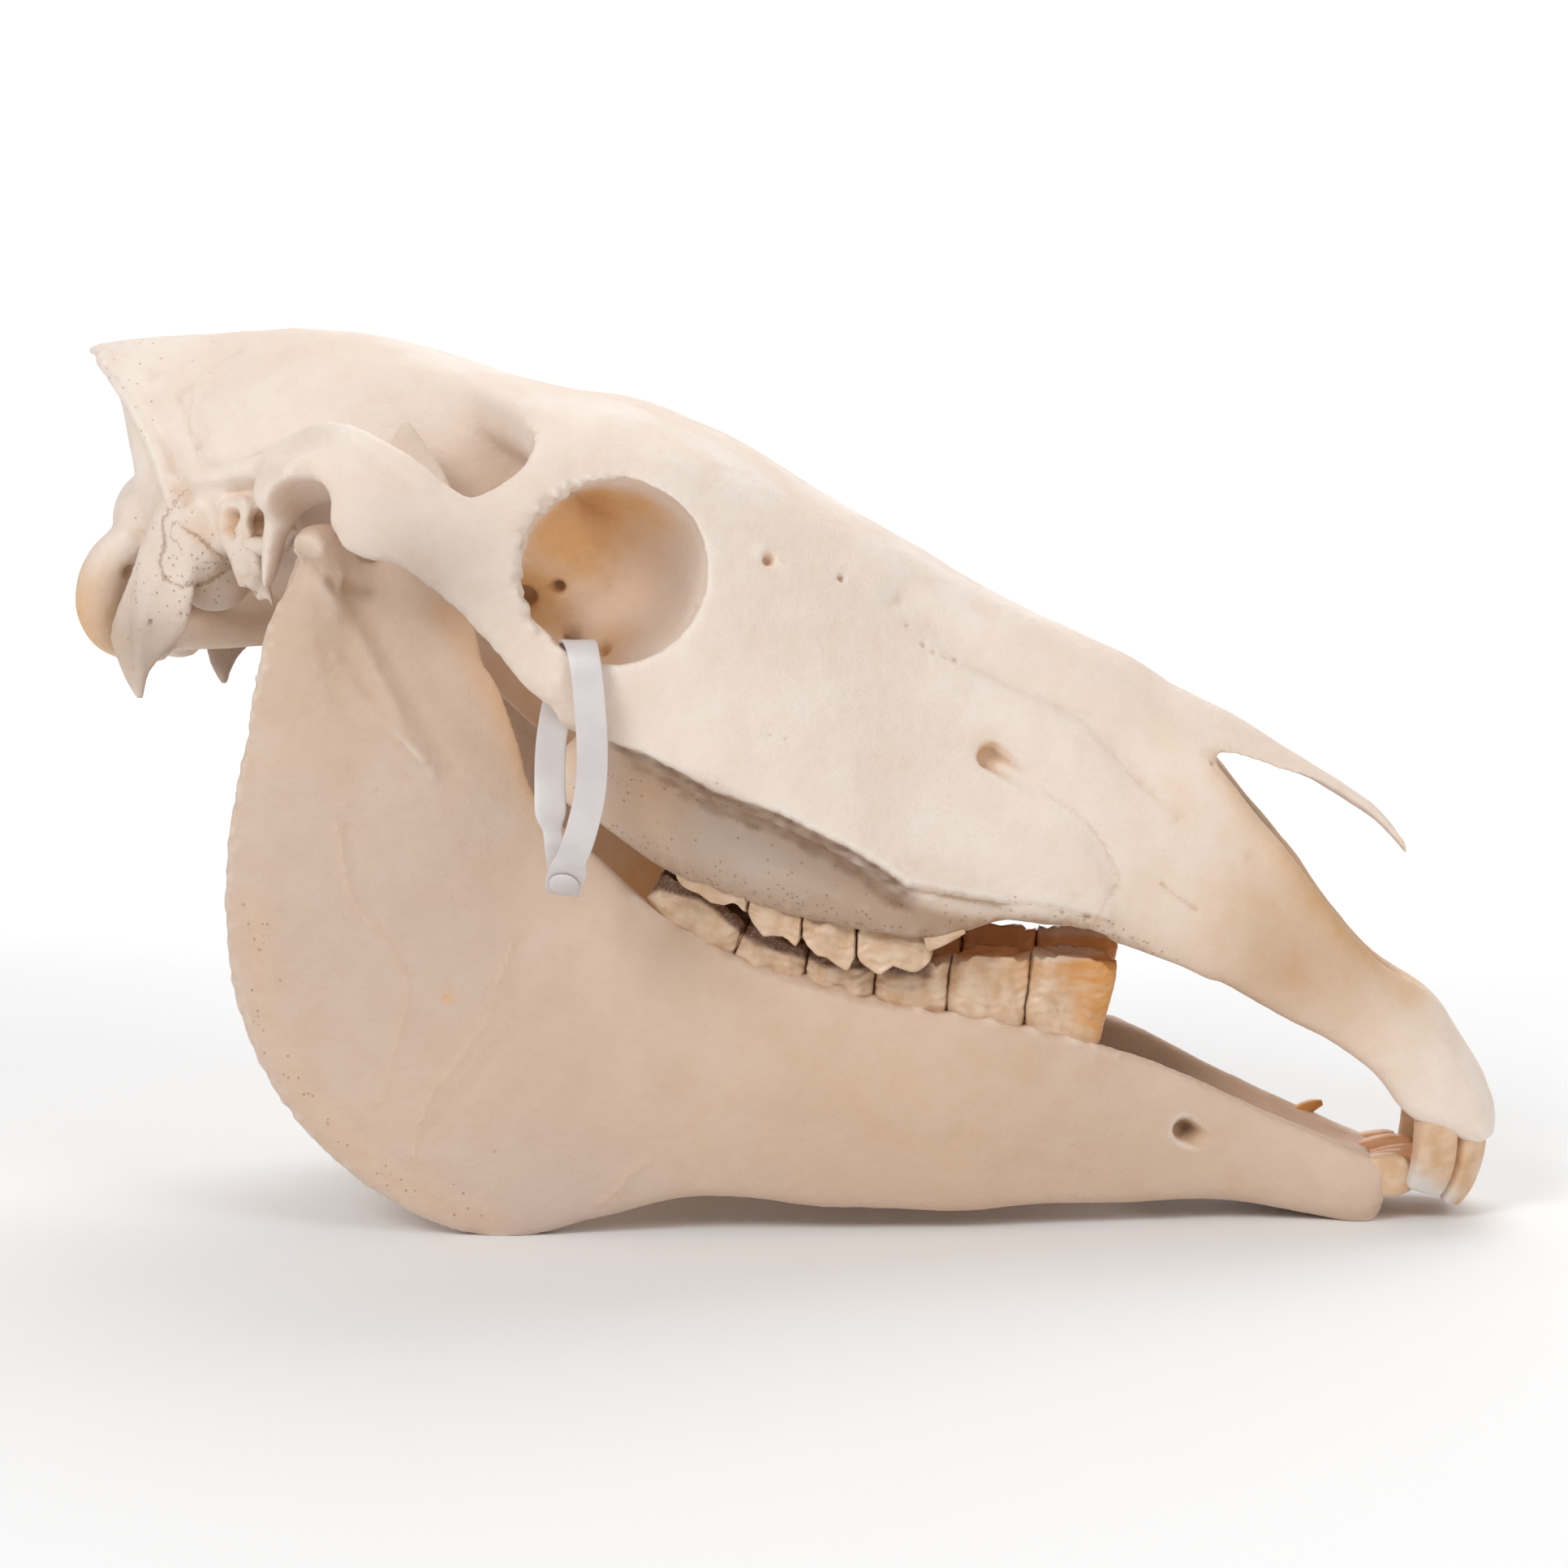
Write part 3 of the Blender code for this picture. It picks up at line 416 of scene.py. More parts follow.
def cranium_hollows():
    """Eye sockets, jaw muscle spaces, jaw joints, nose passage, spinal opening and empty tooth sockets."""
    orbit = limb(
        [
            (-41, 125, 225, 31, 31),
            (-42, 100, 225, 29.5, 29.5),
            (-43, 90, 224, 29.5, 29.5),
            (-46, 75, 223, 32, 31),
            (-52, 55, 221, 30, 27),
            (-58, 40, 219, 22, 19),
            (-62, 33, 218, 10, 10),
        ],
        side=(1, 0, 0),
        count=40,
    )
    temple = limb(
        [
            (-130, 68, 205, 14, 24),
            (-116, 69, 208, 20, 38),
            (-100, 69, 210, 24, 44),
            (-84, 68, 206, 25, 46),
            (-70, 67, 203, 22, 43),
            (-60, 66, 196, 20, 40),
            (-50, 66, 184, 17, 22),
            (-40, 66, 178, 10, 10),
        ],
        count=36,
        square=0.8,
    )
    joint = lump((-144, 87, 244.5), (12.5, 23, 11))
    passage = lying_tube(
        [
            (64, 176, 150, 8),
            (90, 176, 132, 14),
            (120, 170, 114, 18),
            (146, 160, 100, 18.5),
            (158, 158, 93, 18),
            (171, 152, 86, 16.5),
            (190, 142, 74, 13.5),
            (204, 131, 66, 10),
            (212, 110, 62, 5.5),
        ],
        40,
        square=0.6,
    )
    hind_passage = limb(
        [(20, 0, 134, 14, 6), (0, 0, 128, 20, 18), (-24, 0, 138, 21, 26), (-50, 0, 152, 21, 26),
         (-84, 0, 160, 20, 24)]
    )
    spinal = limb([(-262, 0, 226, 17, 16), (-232, 0, 224, 17, 15), (-205, 0, 226, 14, 12)])
    sockets = [
        limb([(x, y, 96, 6.5, 9), (x, y, 105, 6, 8.5), (x, y - 1, 113, 4.5, 6)], square=0.7)
        for x, y in ((78, 39), (104, 32.5))
    ]
    return [*mirrored(orbit, temple, joint, *sockets), passage, hind_passage, spinal]


def side_by_side(name, shells):
    """A mesh object in metres from closed surfaces (points, faces) in millimetres, not fused."""
    points, faces, base = [], [], 0
    for some, sides in shells:
        points.append(some)
        faces += [[base + i for i in side] for side in sides]
        base += len(some)
    mesh = bpy.data.meshes.new(name)
    mesh.from_pydata(((np.concatenate(points) + SHIFT) * MM).tolist(), [], faces)
    obj = bpy.data.objects.new(name, mesh)
    bpy.context.scene.collection.objects.link(obj)
    return obj


def add_grid(obj):
    """Makes one skin of all that overlaps, by a modifier that rebuilds it on a grid of cubes GRAIN wide."""
    grid = obj.modifiers.new("fuse", "REMESH")
    grid.mode = "VOXEL"
    grid.voxel_size = GRAIN * MM


def fused(name, shells):
    """A mesh object whose lofts are fused into one skin."""
    obj = side_by_side(name, shells)
    add_grid(obj)
    return obj


def worked_in(obj):
    """A new mesh of the object as its modifiers leave it."""
    return bpy.data.meshes.new_from_object(obj.evaluated_get(bpy.context.evaluated_depsgraph_get()))


def settled(obj):
    """The mesh of an object with its modifiers worked in, and the object gone."""
    mesh = worked_in(obj)
    bpy.data.objects.remove(obj)
    return mesh


def hollowed(obj, hollows):
    """Takes the fused hollows out of the object, and fuses what is left again."""
    cut = obj.modifiers.new("hollow", "BOOLEAN")
    cut.operation = "DIFFERENCE"
    cut.solver = "MANIFOLD"
    cut.object = hollows
    add_grid(obj)
    mesh = settled(obj)
    bpy.data.objects.remove(hollows)
    return mesh


def millimetres(mesh):
    """The mesh's points, in the skull's own millimetres."""
    flat = np.empty(len(mesh.vertices) * 3)
    mesh.vertices.foreach_get("co", flat)
    return flat.reshape(-1, 3) / MM - SHIFT


def put_back(mesh, points):
    """Moves the mesh's points to these places, in the skull's own millimetres."""
    mesh.vertices.foreach_set("co", ((points + SHIFT) * MM).ravel())
    mesh.update()


def outward(mesh):
    """Each point's direction out of the surface."""
    flat = np.empty(len(mesh.vertices) * 3)
    mesh.vertex_normals.foreach_get("vector", flat)
    return flat.reshape(-1, 3)


def next_to(mesh):
    """The edges' two ends, and how many edges meet at each point."""
    flat = np.empty(len(mesh.edges) * 2, np.int32)
    mesh.edges.foreach_get("vertices", flat)
    ends = flat.reshape(-1, 2).T
    return ends, np.maximum(np.bincount(flat, minlength=len(mesh.vertices)), 1)


def towards_middle(values, ends, meeting):
    """How far each point's value is from the mean of its neighbours' values."""
    a, b = ends
    many = len(meeting)
    columns = values.reshape(many, -1).T
    total = [np.bincount(a, v[b], many) + np.bincount(b, v[a], many) for v in columns]
    return (np.stack(total, 1) / meeting[:, None]).reshape(values.shape) - values


def fill_creases(mesh, rounds, share):
    """Fillets where lofts meet: each round moves the points in a crease out to their neighbours' mean.

    `share` says, for the points, how much of that way they go. All points are also evened out a little."""
    ends, meeting = next_to(mesh)
    points = millimetres(mesh)
    share = share(points)[:, None]
    for step in range(rounds):
        if step % 6 == 0:
            put_back(mesh, points)
            out = outward(mesh)
        pull = towards_middle(points, ends, meeting)
        crease = np.maximum(np.sum(pull * out, axis=1, keepdims=True), 0)
        points = points + 0.12 * pull + 0.75 * share * crease * out
    put_back(mesh, points)


def even_out(mesh, rounds, share):
    """Each round moves the points part of the way to their neighbours' mean, by their `share`."""
    ends, meeting = next_to(mesh)
    points = millimetres(mesh)
    share = share(points)[:, None]
    for _ in range(rounds):
        points = points + 0.6 * share * towards_middle(points, ends, meeting)
    put_back(mesh, points)


def step_up(values, low, high):
    """0 below `low`, 1 above `high`, and smooth between."""
    t = np.clip((values - low) / (high - low), 0, 1)
    return t * t * (3 - 2 * t)


def bell(values, middle, half):
    """1 at `middle`, and e to the minus square of the distance from it in units of `half` elsewhere."""
    return np.exp(-(((values - middle) / half) ** 2))


def rough(points, size, seed=0):
    """Smooth noise from -1 to 1: hashed values at the corners of cubes `size` wide, blended between them."""
    place = points / size + 37.7 * (seed + 1)
    cell = np.floor(place).astype(np.int64)
    t = place - cell
    t = t * t * (3 - 2 * t)
    total = np.zeros(len(points))
    for corner in ((i, j, k) for i in (0, 1) for j in (0, 1) for k in (0, 1)):
        at = cell + corner
        h = (at[:, 0] * 73856093) ^ (at[:, 1] * 19349663) ^ (at[:, 2] * 83492791)
        h = ((h ^ (h >> 13)) * 1274126177) & 0xFFFFFFFF
        h = ((h ^ (h >> 15)) * 668265263) & 0xFFFFFFFF
        weight = np.prod(np.where(corner, t, 1 - t), axis=1)
        total += weight * ((h >> 9) % 65536 / 32768 - 1)
    return total


def from_line(x, z, line):
    """Distance of points (x, z) from a bent line: above 0 on the left of its way, below 0 on the right."""
    near = np.full(len(x), 1e3)
    for (x0, z0), (x1, z1) in zip(line, line[1:]):
        dx, dz = x1 - x0, z1 - z0
        t = np.clip(((x - x0) * dx + (z - z0) * dz) / (dx * dx + dz * dz), 0, 1)
        ex, ez = x - x0 - t * dx, z - z0 - t * dz
        far = np.hypot(ex, ez) * np.where(dx * ez - dz * ex < 0, -1, 1)
        near = np.where(np.abs(far) < np.abs(near), far, near)
    return near


# Long soft forms of the cranium's sides, seen from the side: line, half width, height, least |y|.
CRANIUM_FOLDS = [
    ([(46, 213), (64, 197), (80, 188), (93, 182), (107, 173), (116, 163), (125, 152), (138, 141),
     (160, 127)], 6.5, -2.6, 18),
    ([(60, 186), (78, 176), (95, 168), (106, 156), (116, 144), (130, 133)], 6.0, 0.9, 24),
    ([(79, 161), (90, 151.6), (101.5, 143.2), (108, 135), (113, 127), (116, 117)], 3.4, -1.2, 28),
    ([(96, 136), (106, 122), (112, 110)], 5.0, 0.7, 28),
    ([(130.6, 117.7), (135.5, 113.4), (142, 108.8)], 1.5, -0.9, 26),
    ([(-238.4, 296.2), (-228.6, 289.2), (-220.3, 282.6), (-211.6, 270.8), (-206.5, 261.6), (-200.8, 250.9)],
     1.5, 1.7, 8),
    ([(-230, 294), (-222, 287), (-213, 279), (-205, 268), (-199, 258), (-194, 250)], 3.6, -1.9, 14),
    ([(-186, 300), (-198, 294), (-203, 285), (-199, 276), (-193, 268)], 2.6, -0.9, 12),
    ([(-172.7, 249.6), (-170.8, 245.9), (-169.6, 235.5), (-168.4, 225.0)], 1.3, 1.2, 50),
    ([(-180.5, 247), (-181.5, 238), (-181, 229)], 1.5, 0.9, 50),
    ([(-40, 160), (-14, 146), (6, 135), (28, 124), (44, 113)], 4.0, -0.8, 45),
    ([(-34, 147), (-12, 134), (10, 123), (34, 113)], 3.0, 0.5, 45),
    ([(-147, 276), (-128, 270), (-101, 252)], 3.0, 1.0, 60),
    ([(-158, 304), (-184, 299), (-197, 293), (-216, 287), (-228, 296)], 4.0, 0.9, 8),
    ([(-193, 290), (-197, 281), (-190, 265), (-176, 254)], 3.5, -0.7, 20),
    ([(-125, 250), (-104, 240), (-88, 228), (-76, 208)], 6.0, -0.8, 90),
    ([(-214, 229), (-216, 212), (-217, 192)], 2.2, -1.1, 42),
    ([(-200, 226), (-206, 210), (-211, 194)], 3.0, -0.9, 48),
]
# Ledges, crisp on top and cut back below: line, reach, height, least |y|.
CRANIUM_LEDGES = [
    ([(-43, 169.8), (-32, 165.4), (-22, 159.8), (-12, 153.4), (8.6, 145.8), (19.5, 139.5), (30, 134),
      (38.5, 128.3), (48, 120.5), (62, 117.2), (75, 114.2)], 4.2, 1.7, 44),
    ([(62, 117.2), (75, 114.2), (93, 112.6), (111, 107.2)], 2.6, 0.9, 36),
    ([(134, 140.5), (121, 152.3), (113, 162.4), (104.8, 171.6), (90.4, 179.3), (77.5, 185.2), (61.6, 192.8)],
     4.6, 0.4, 18),
    ([(-42, 161), (-31, 156.8), (-21, 151.4), (-10, 145.4), (4, 139), (16, 132.5), (27, 126)],
     1.8, -0.45, 44),
]
# Holes that open forward: head, where the floor comes out, half width, depth.
CRANIUM_BURROWS = [((75.0, 161.6), (92, 149.5), 3.9, 6.0)]
# Cracks between bones that haven't grown together: line, half width, depth, least |y|.
CRANIUM_CRACKS = [
    ([(-198, 248.7), (-202.5, 242.8), (-201.4, 234.2), (-203.3, 228.6), (-201.8, 222.9), (-195.6, 220),
      (-188.9, 222.1), (-183, 226.2)], 0.8, -0.8, 48),
    ([(-194.5, 240), (-190, 237.2), (-186.7, 233.9), (-183.5, 230)], 1.1, -1.0, 48),
    ([(106, 139), (112, 130), (117, 120), (112, 112), (109, 106)], 0.8, -0.2, 34),
]
# Pits and holes: place, mouth's half width, depth.
CRANIUM_PITS = [
    ((-218.5, 42, 224), 2.6, 3.5),
    ((-175.5, 54, 217.5), 2.4, 3.0),
    ((4.5, 67.5, 227.5), 1.8, 4.0),
    ((26.4, 53, 220.8), 1.2, 3.0),
    ((148, 24, 157), 1.0, 1.5),
    ((-72, 33, 218), 2.2, 7.0),
    ((-84, 32, 214), 4.0, 9.0),
    ((-56, 45, 199), 3.2, 7.0),
    ((-23, 57, 210.5), 1.4, 4.0),
    ((-165.5, 63, 241.5), 3.9, 12.0),
    ((-166.5, 62, 236), 2.6, 8.0),
    ((-177, 60, 243.6), 3.0, 7.0),
    ((-177.5, 60, 239), 2.8, 7.0),
    ((-173, 54, 217.5), 2.2, 4.0),
    ((-199, 55, 216.5), 1.6, 2.0),
    ((-196.5, 56, 211), 0.9, 1.4),
    ((-211, 51, 212), 1.0, 1.2),
    ((47.8, 44, 205), 1.1, 0.7),
    ((53, 43, 198.5), 1.2, 0.8),
    ((56, 42, 196), 0.9, 0.7),
    ((63.5, 39, 193.7), 1.0, 0.6),
    ((6, 83, 171.5), 1.0, 0.7),
    ((11, 81, 170), 0.9, 0.6),
    ((98, 46, 109), 1.0, 1.2),
    ((106, 44, 107.5), 1.2, 1.4),
    ((114, 41, 104.5), 1.0, 1.2),
    ((32, 57.5, 106.5), 0.9, 1.0),
    ((-218, 32, 276), 1.0, 1.0),
    ((-211, 35, 269.7), 1.4, 1.6),
    ((-198, 44, 276), 0.9, 0.9),
    ((-183, 50, 253.4), 1.0, 1.1),
    ((-25.5, 66, 198), 1.0, 2.0),
]
# Low round knobs: place, half width, height.
CRANIUM_KNOBS = [
    ((-17.5, 70, 230), 1.8, 1.4),
    ((1.5, 68.5, 229.5), 2.8, 0.8),
    ((-124, 97, 232), 7.0, 1.2),
    ((-62, 97, 190), 6.0, 0.6),
    ((-136, 97, 244), 6.0, 0.8),
]


def relief(points, out, folds, ledges, cracks, pits, knobs, burrows):
    """Height in mm to add along `out`: bell-shaped folds and cracks along lines, and round pits and knobs.

    A ledge is raised on the left of its line and sunk on the right, with a step about 2 mm wide between. A
    burrow is deepest at its head, where it is steep, and its floor slopes up and out to its other end."""
    x, y, z = points.T
    wide = np.abs(y)
    facing = step_up(out[:, 1] * np.sign(y), 0.1, 0.5)
    uneven = rough(points, 2.2, 5)
    height = np.zeros(len(points))
    for lines, sway, is_step in ((folds, 0, False), (ledges, 0.5, True), (cracks, 0.8, False)):
        for line, half, tall, least in lines:
            far = from_line(x, z, line) + sway * uneven
            form = np.tanh(far / 0.9) * bell(far, 0, half) if is_step else bell(far, 0, half)
            height += tall * form * facing * step_up(wide, least - 3, least)
    for (x0, z0), (x1, z1), half, deep in burrows:
        dx, dz = x1 - x0, z1 - z0
        t = np.clip(((x - x0) * dx + (z - z0) * dz) / (dx * dx + dz * dz), 0, 1)
        far = np.hypot(x - x0 - t * dx, z - z0 - t * dz)
        height -= deep * (1 - t) ** 1.7 * facing / (1 + np.exp((far - half * (1 - 0.3 * t)) / 0.4))
    for places, sign in ((pits, -1), (knobs, 1)):
        for centre, half, tall in places:
            far = np.sqrt((x - centre[0]) ** 2 + (wide - centre[1]) ** 2 * 0.35 + (z - centre[2]) ** 2)
            height += sign * tall * np.exp(-((far / half) ** 4))
    return height


# The eye socket's rim, seen from the side: x, height, radius.
ORBIT_RIM = (-42, 224.5, 30.5)
# Lower border of the arch, and the line under the facial crest that stays crisp.
ARCH_BORDER = [(-135, 239), (-121, 231), (-105, 223), (-88, 210), (-74, 195), (-62, 181)]
CRISP_LINE = [(-43, 166), (-12, 150), (20, 136), (48, 117), (80, 112)]


def under_crest(points):
    """1 on the coarse strip right under the facial crest."""
    x, y, z = points.T
    far = from_line(x, z, CRANIUM_LEDGES[0][0])
    strip = step_up(far + 1.2 * rough(points, 5.0, 43), -11.5, -8.5) * (1 - step_up(far, -0.9, 0.3))
    return strip * step_up(np.abs(y), 44, 50) * step_up(x, -48, -40) * (1 - step_up(x, 44, 56))


def cranium_rough_edges(points, out):
    """Height in mm of worn edges and small forms, each a bell or step times noise: the orbit's rim, the
    arch's lower border, the strip under the facial crest, the tooth sockets' margin, the nuchal crest, the
    ear, and the front teeth's roots and the line between them."""
    x, y, z = points.T
    wide = np.abs(y)
    rim_x, rim_z, radius = ORBIT_RIM
    rim = bell(np.hypot(x - rim_x, z - rim_z), radius, 1.8) * step_up(wide, 72, 80)
    rim *= step_up(-x + z, 180, 270)
    margin = along([(row[0], row[2]) for row in FACE["sockets"]], x)[:, 0]
    socket = bell(z - margin, 1.5, 3.0) * step_up(wide, 24, 30) * step_up(x, -40, -30)
    socket *= 1 - step_up(x, 118, 130)
    crest = step_up(-x, 222, 234) * step_up(z, 285, 296)
    ear = np.exp(-((x + 174) ** 2 + (wide - 56) ** 2 + (z - 216) ** 2) / 45)
    fine, finer_still = rough(points, 3.0, 1), rough(points, 2.4, 2)
    torn = 1.5 * step_up(-x + 0.4 * (z - 224), 46, 60)
    shelf = under_crest(points) * rough(points, 2.6, 3)
    border = bell(from_line(x, z, ARCH_BORDER), 2, 4.0) * step_up(wide, 84, 90)
    rim = rim * (0.4 + 0.8 * torn) + 0.45 * border
    front = step_up(x, 206, 220) * step_up(out[:, 0] + 0.4 * out[:, 2], 0.3, 0.6)
    roots = (bell(wide, 7.5, 4.2) + bell(wide, 20.5, 4.0)) * (1 - step_up(z, 46, 62))
    front = front * (0.9 * roots - 1.1 * bell(y + 0.6 * rough(points, 6.0, 4), 0, 1.2) * step_up(z, 40, 46))
    height = front + rim * finer_still + 0.45 * shelf + socket * (0.5 * fine - 0.25)
    return height + 0.5 * crest * fine + 1.2 * ear * fine


cranium_skin = hollowed(
    fused(
        "cranium",
        [
            body_loft(FACE.values(), np.linspace(-62, 148, 90), 110),
            body_loft(ROOF.values(), np.linspace(-112, -28, 40), 70),
            body_loft(BRAINCASE.values(), np.linspace(-247, -56, 76), 80),
            body_loft(MUZZLE.values(), np.linspace(112, 242.5, 64), 64),
            nasal_end(),
            *mirrored(
                ribbon(ARCH), ribbon(ORBIT_BAR), limb(ARCH_ROOT, side=(1, 0, 0)), lump(*MAXILLA_END)
            ),
            *nuchal_end(),
            *hind_processes(),
            *throat(),
        ],
    ),
    fused("hollows", cranium_hollows()),
)


def cranium_share(points):
    """How much the creases are filled: less in the narrow places that stay crisp."""
    x, y, z = points.T
    crisp = np.exp(-((x + 174) ** 2 + (np.abs(y) - 56) ** 2 + (z - 228) ** 2) / 300)
    ledge = bell(from_line(x, z, CRISP_LINE), 0, 6)
    return 1 - 0.75 * np.maximum(crisp, 0.8 * ledge)


def inside_orbit(points):
    """1 on the walls of the eye socket, as far back as the camera sees them through its rim."""
    x, y, z = points.T
    deep = 90 - np.abs(y)
    off = np.hypot(x + 45 + 0.13 * deep, z - 222 + 0.09 * deep)
    return (1 - step_up(off - 0.12 * deep, 26, 31)) * step_up(deep, 5, 12) * (1 - step_up(deep, 70, 80))


def carve(mesh, edges, waves, **forms):
    """Adds the relief, the worn edges and slow unevenness to a skin, along its normals."""
    points, out = millimetres(mesh), outward(mesh)
    height = relief(points, out, **forms) + edges(points, out)
    for size, tall, seed in waves:
        height += tall * rough(points, size, seed)
    put_back(mesh, points + out * height[:, None])


def thinned(mesh, name, most):
    """A new object whose mesh has at most `most` triangles, with smooth shading."""
    obj = bpy.data.objects.new(name, mesh)
    bpy.context.scene.collection.objects.link(obj)
    triangles = sum(len(p.vertices) - 2 for p in mesh.polygons)
    if triangles > most:
        obj.modifiers.new("thin", "DECIMATE").ratio = most / triangles
        slim = worked_in(obj)
        obj.modifiers.clear()
        obj.data = slim
    obj.data.shade_smooth()
    return obj


def seams(points, out, *groups):
    """Distance from the nearest of the lines in mm, and how strongly a line shows there."""
    x, y, z = points.T
    facing = step_up(out[:, 1] * np.sign(y), 0.1, 0.4)
    near, shown = np.full(len(x), 99.0), np.zeros(len(x))
    for strength, lines in groups:
        for line, least in lines:
            far = from_line(x, z, line)
            closer = (np.abs(far) < np.abs(near)) & (np.abs(y) > least - 4)
            near = np.where(closer, far, near)
            shown = np.where(closer, strength * facing * (1 - step_up(np.abs(far), 5, 7)), shown)
    return near, shown


def depths(mesh):
    """How far each point lies below the surface's own mean, in mm: over a few mm, and over a few cm."""
    ends, meeting = next_to(mesh)
    points, out = millimetres(mesh), outward(mesh)
    even, found = points.copy(), []
    for rounds in (5, 115):
        for _ in range(rounds):
            even += 0.7 * towards_middle(even, ends, meeting)
        found.append(np.sum((even - points) * out, axis=1))
    return found


def mark(obj, **marks):
    """Keeps each array of numbers with the points, under its name, for the materials to read."""
    for name, values in marks.items():
        obj.data.attributes.new(name, "FLOAT", "POINT").data.foreach_set("value", values.astype(np.float32))


def around(points, *balls):
    """The greatest of some soft balls, each (x, |y|, z, radius, height), at the points."""
    x, y, z = points.T
    value = np.zeros(len(x))
    for a, b, c, radius, tall in balls:
        far = ((x - a) ** 2 + (np.abs(y) - b) ** 2 + (z - c) ** 2) / radius**2
        value = np.maximum(value, tall * np.exp(-far))
    return value


def node(tree, kind, inputs=None, **settings):
    """A shader node whose inputs are numbers, colours or the sockets that feed them."""
    made = tree.nodes.new("ShaderNode" + kind)
    for name, value in settings.items():
        setattr(made, name, value)
    for name, value in (inputs or {}).items():
        if isinstance(value, bpy.types.NodeSocket):
            tree.links.new(value, made.inputs[name])
        else:
            made.inputs[name].default_value = value
    return made


def sums(tree, operation, *values):
    """The result of a sum on numbers or sockets."""
    return node(tree, "Math", dict(enumerate(values)), operation=operation).outputs[0]


def ramp(tree, value, low, high, bottom=0.0, top=1.0):
    """`bottom` to `top` as the value goes from `low` to `high`, and no further."""
    inputs = {"Value": value, "From Min": low, "From Max": high, "To Min": bottom, "To Max": top}
    return node(tree, "MapRange", inputs, interpolation_type="SMOOTHSTEP").outputs[0]


def blend(tree, share, one, other):
    """Goes from the colour `one` to the colour `other` by `share`."""
    made = node(tree, "Mix", {0: share, 6: one, 7: other}, data_type="RGBA")
    return made.outputs[2]


def colour(red, green, blue):
    """A shader's colour from the 0 to 255 that a screen shows."""
    return tuple((c / 255) ** 2.2 for c in (red, green, blue)) + (1.0,)


def group(name, inputs, outputs):
    """An empty node group with named number, colour and vector sockets."""
    tree = bpy.data.node_groups.new(name, "ShaderNodeTree")
    for names, way in ((inputs, "INPUT"), (outputs, "OUTPUT")):
        for label, kind in names.items():
            tree.interface.new_socket(label, in_out=way, socket_type="NodeSocket" + kind)
    return tree, tree.nodes.new("NodeGroupInput").outputs, tree.nodes.new("NodeGroupOutput").inputs


def bone_grain():
    """Slow mottling, pores and the height of fine grain in mm, from places in mm."""
    tree, given, result = group(
        "bone_grain",
        {"Place": "Vector", "Porous": "Float"},
        {"Mottle": "Float", "Patches": "Float", "Pores": "Float", "Height": "Float"},
    )
    place, porous = given["Place"], given["Porous"]
    slow = node(tree, "TexNoise", {"Vector": place, "Scale": 0.021, "Detail": 4.0, "Roughness": 0.55})
    patch = node(tree, "TexNoise", {"Vector": place, "Scale": 0.075, "Detail": 5.0, "Roughness": 0.6})
    lumps = node(tree, "TexNoise", {"Vector": place, "Scale": 0.22, "Detail": 4.0, "Roughness": 0.55})
    grain = node(tree, "TexNoise", {"Vector": place, "Scale": 1.5, "Detail": 4.0, "Roughness": 0.6})
    cells = node(tree, "TexVoronoi", {"Vector": place, "Scale": 0.62, "Randomness": 1.0})
    pick = node(tree, "SeparateColor", {"Color": cells.outputs["Color"]}).outputs[0]
    least = sums(tree, "SUBTRACT", 0.998, sums(tree, "MULTIPLY", porous, 0.5))
    chosen = ramp(tree, sums(tree, "SUBTRACT", pick, least), 0.0, 0.03)
    hole = ramp(tree, cells.outputs["Distance"], 0.34, 0.12)
    pores = sums(tree, "MULTIPLY", hole, chosen)
    height = sums(tree, "MULTIPLY", sums(tree, "SUBTRACT", lumps.outputs[0], 0.5), 0.75)
    height = sums(tree, "MULTIPLY_ADD", sums(tree, "SUBTRACT", grain.outputs[0], 0.5), 0.2, height)
    height = sums(tree, "MULTIPLY_ADD", pores, -0.5, height)
    tree.links.new(ramp(tree, slow.outputs[0], 0.36, 0.66), result["Mottle"])
    tree.links.new(ramp(tree, patch.outputs[0], 0.4, 0.68), result["Patches"])
    tree.links.new(pores, result["Pores"])
    tree.links.new(height, result["Height"])
    return tree


def thin_line():
    """A line's mask and its depth, from the distance to it in mm, made uneven by noise."""
    tree, given, result = group(
        "thin_line",
        {"Place": "Vector", "Distance": "Float", "Shown": "Float", "Half width": "Float"},
        {"Line": "Float"},
    )
    sway = node(tree, "TexNoise", {"Vector": given["Place"], "Scale": 0.75, "Detail": 3.0}).outputs[0]
    width = node(tree, "TexNoise", {"Vector": given["Place"], "Scale": 0.3, "Detail": 2.0}).outputs[0]
    far = sums(tree, "MULTIPLY_ADD", sums(tree, "SUBTRACT", sway, 0.5), 3.2, given["Distance"])
    far = sums(tree, "ABSOLUTE", far)
    half = sums(tree, "MULTIPLY", given["Half width"], ramp(tree, width, 0.35, 0.65, 0.1, 1.5))
    line = sums(tree, "SUBTRACT", 1.0, sums(tree, "DIVIDE", far, half))
    line = sums(tree, "MULTIPLY", ramp(tree, line, 0.0, 0.75), given["Shown"])
    tree.links.new(line, result["Line"])
    return tree


GRAIN_GROUP, LINE_GROUP = bone_grain(), thin_line()


def new_paint(name):
    """A new material, its node tree and its Principled BSDF."""
    made = bpy.data.materials.new(name)
    made.use_nodes = True
    return made, made.node_tree, made.node_tree.nodes["Principled BSDF"]


def place_in_mm(tree):
    """Object coordinates times 1000."""
    here = node(tree, "TexCoord").outputs["Object"]
    return node(tree, "VectorMath", {0: here, "Scale": 1000.0}, operation="SCALE").outputs[0]


def marked(tree, label):
    """The numbers that `mark` keeps with the points under this name."""
    return node(tree, "Attribute", attribute_name=label).outputs["Fac"]


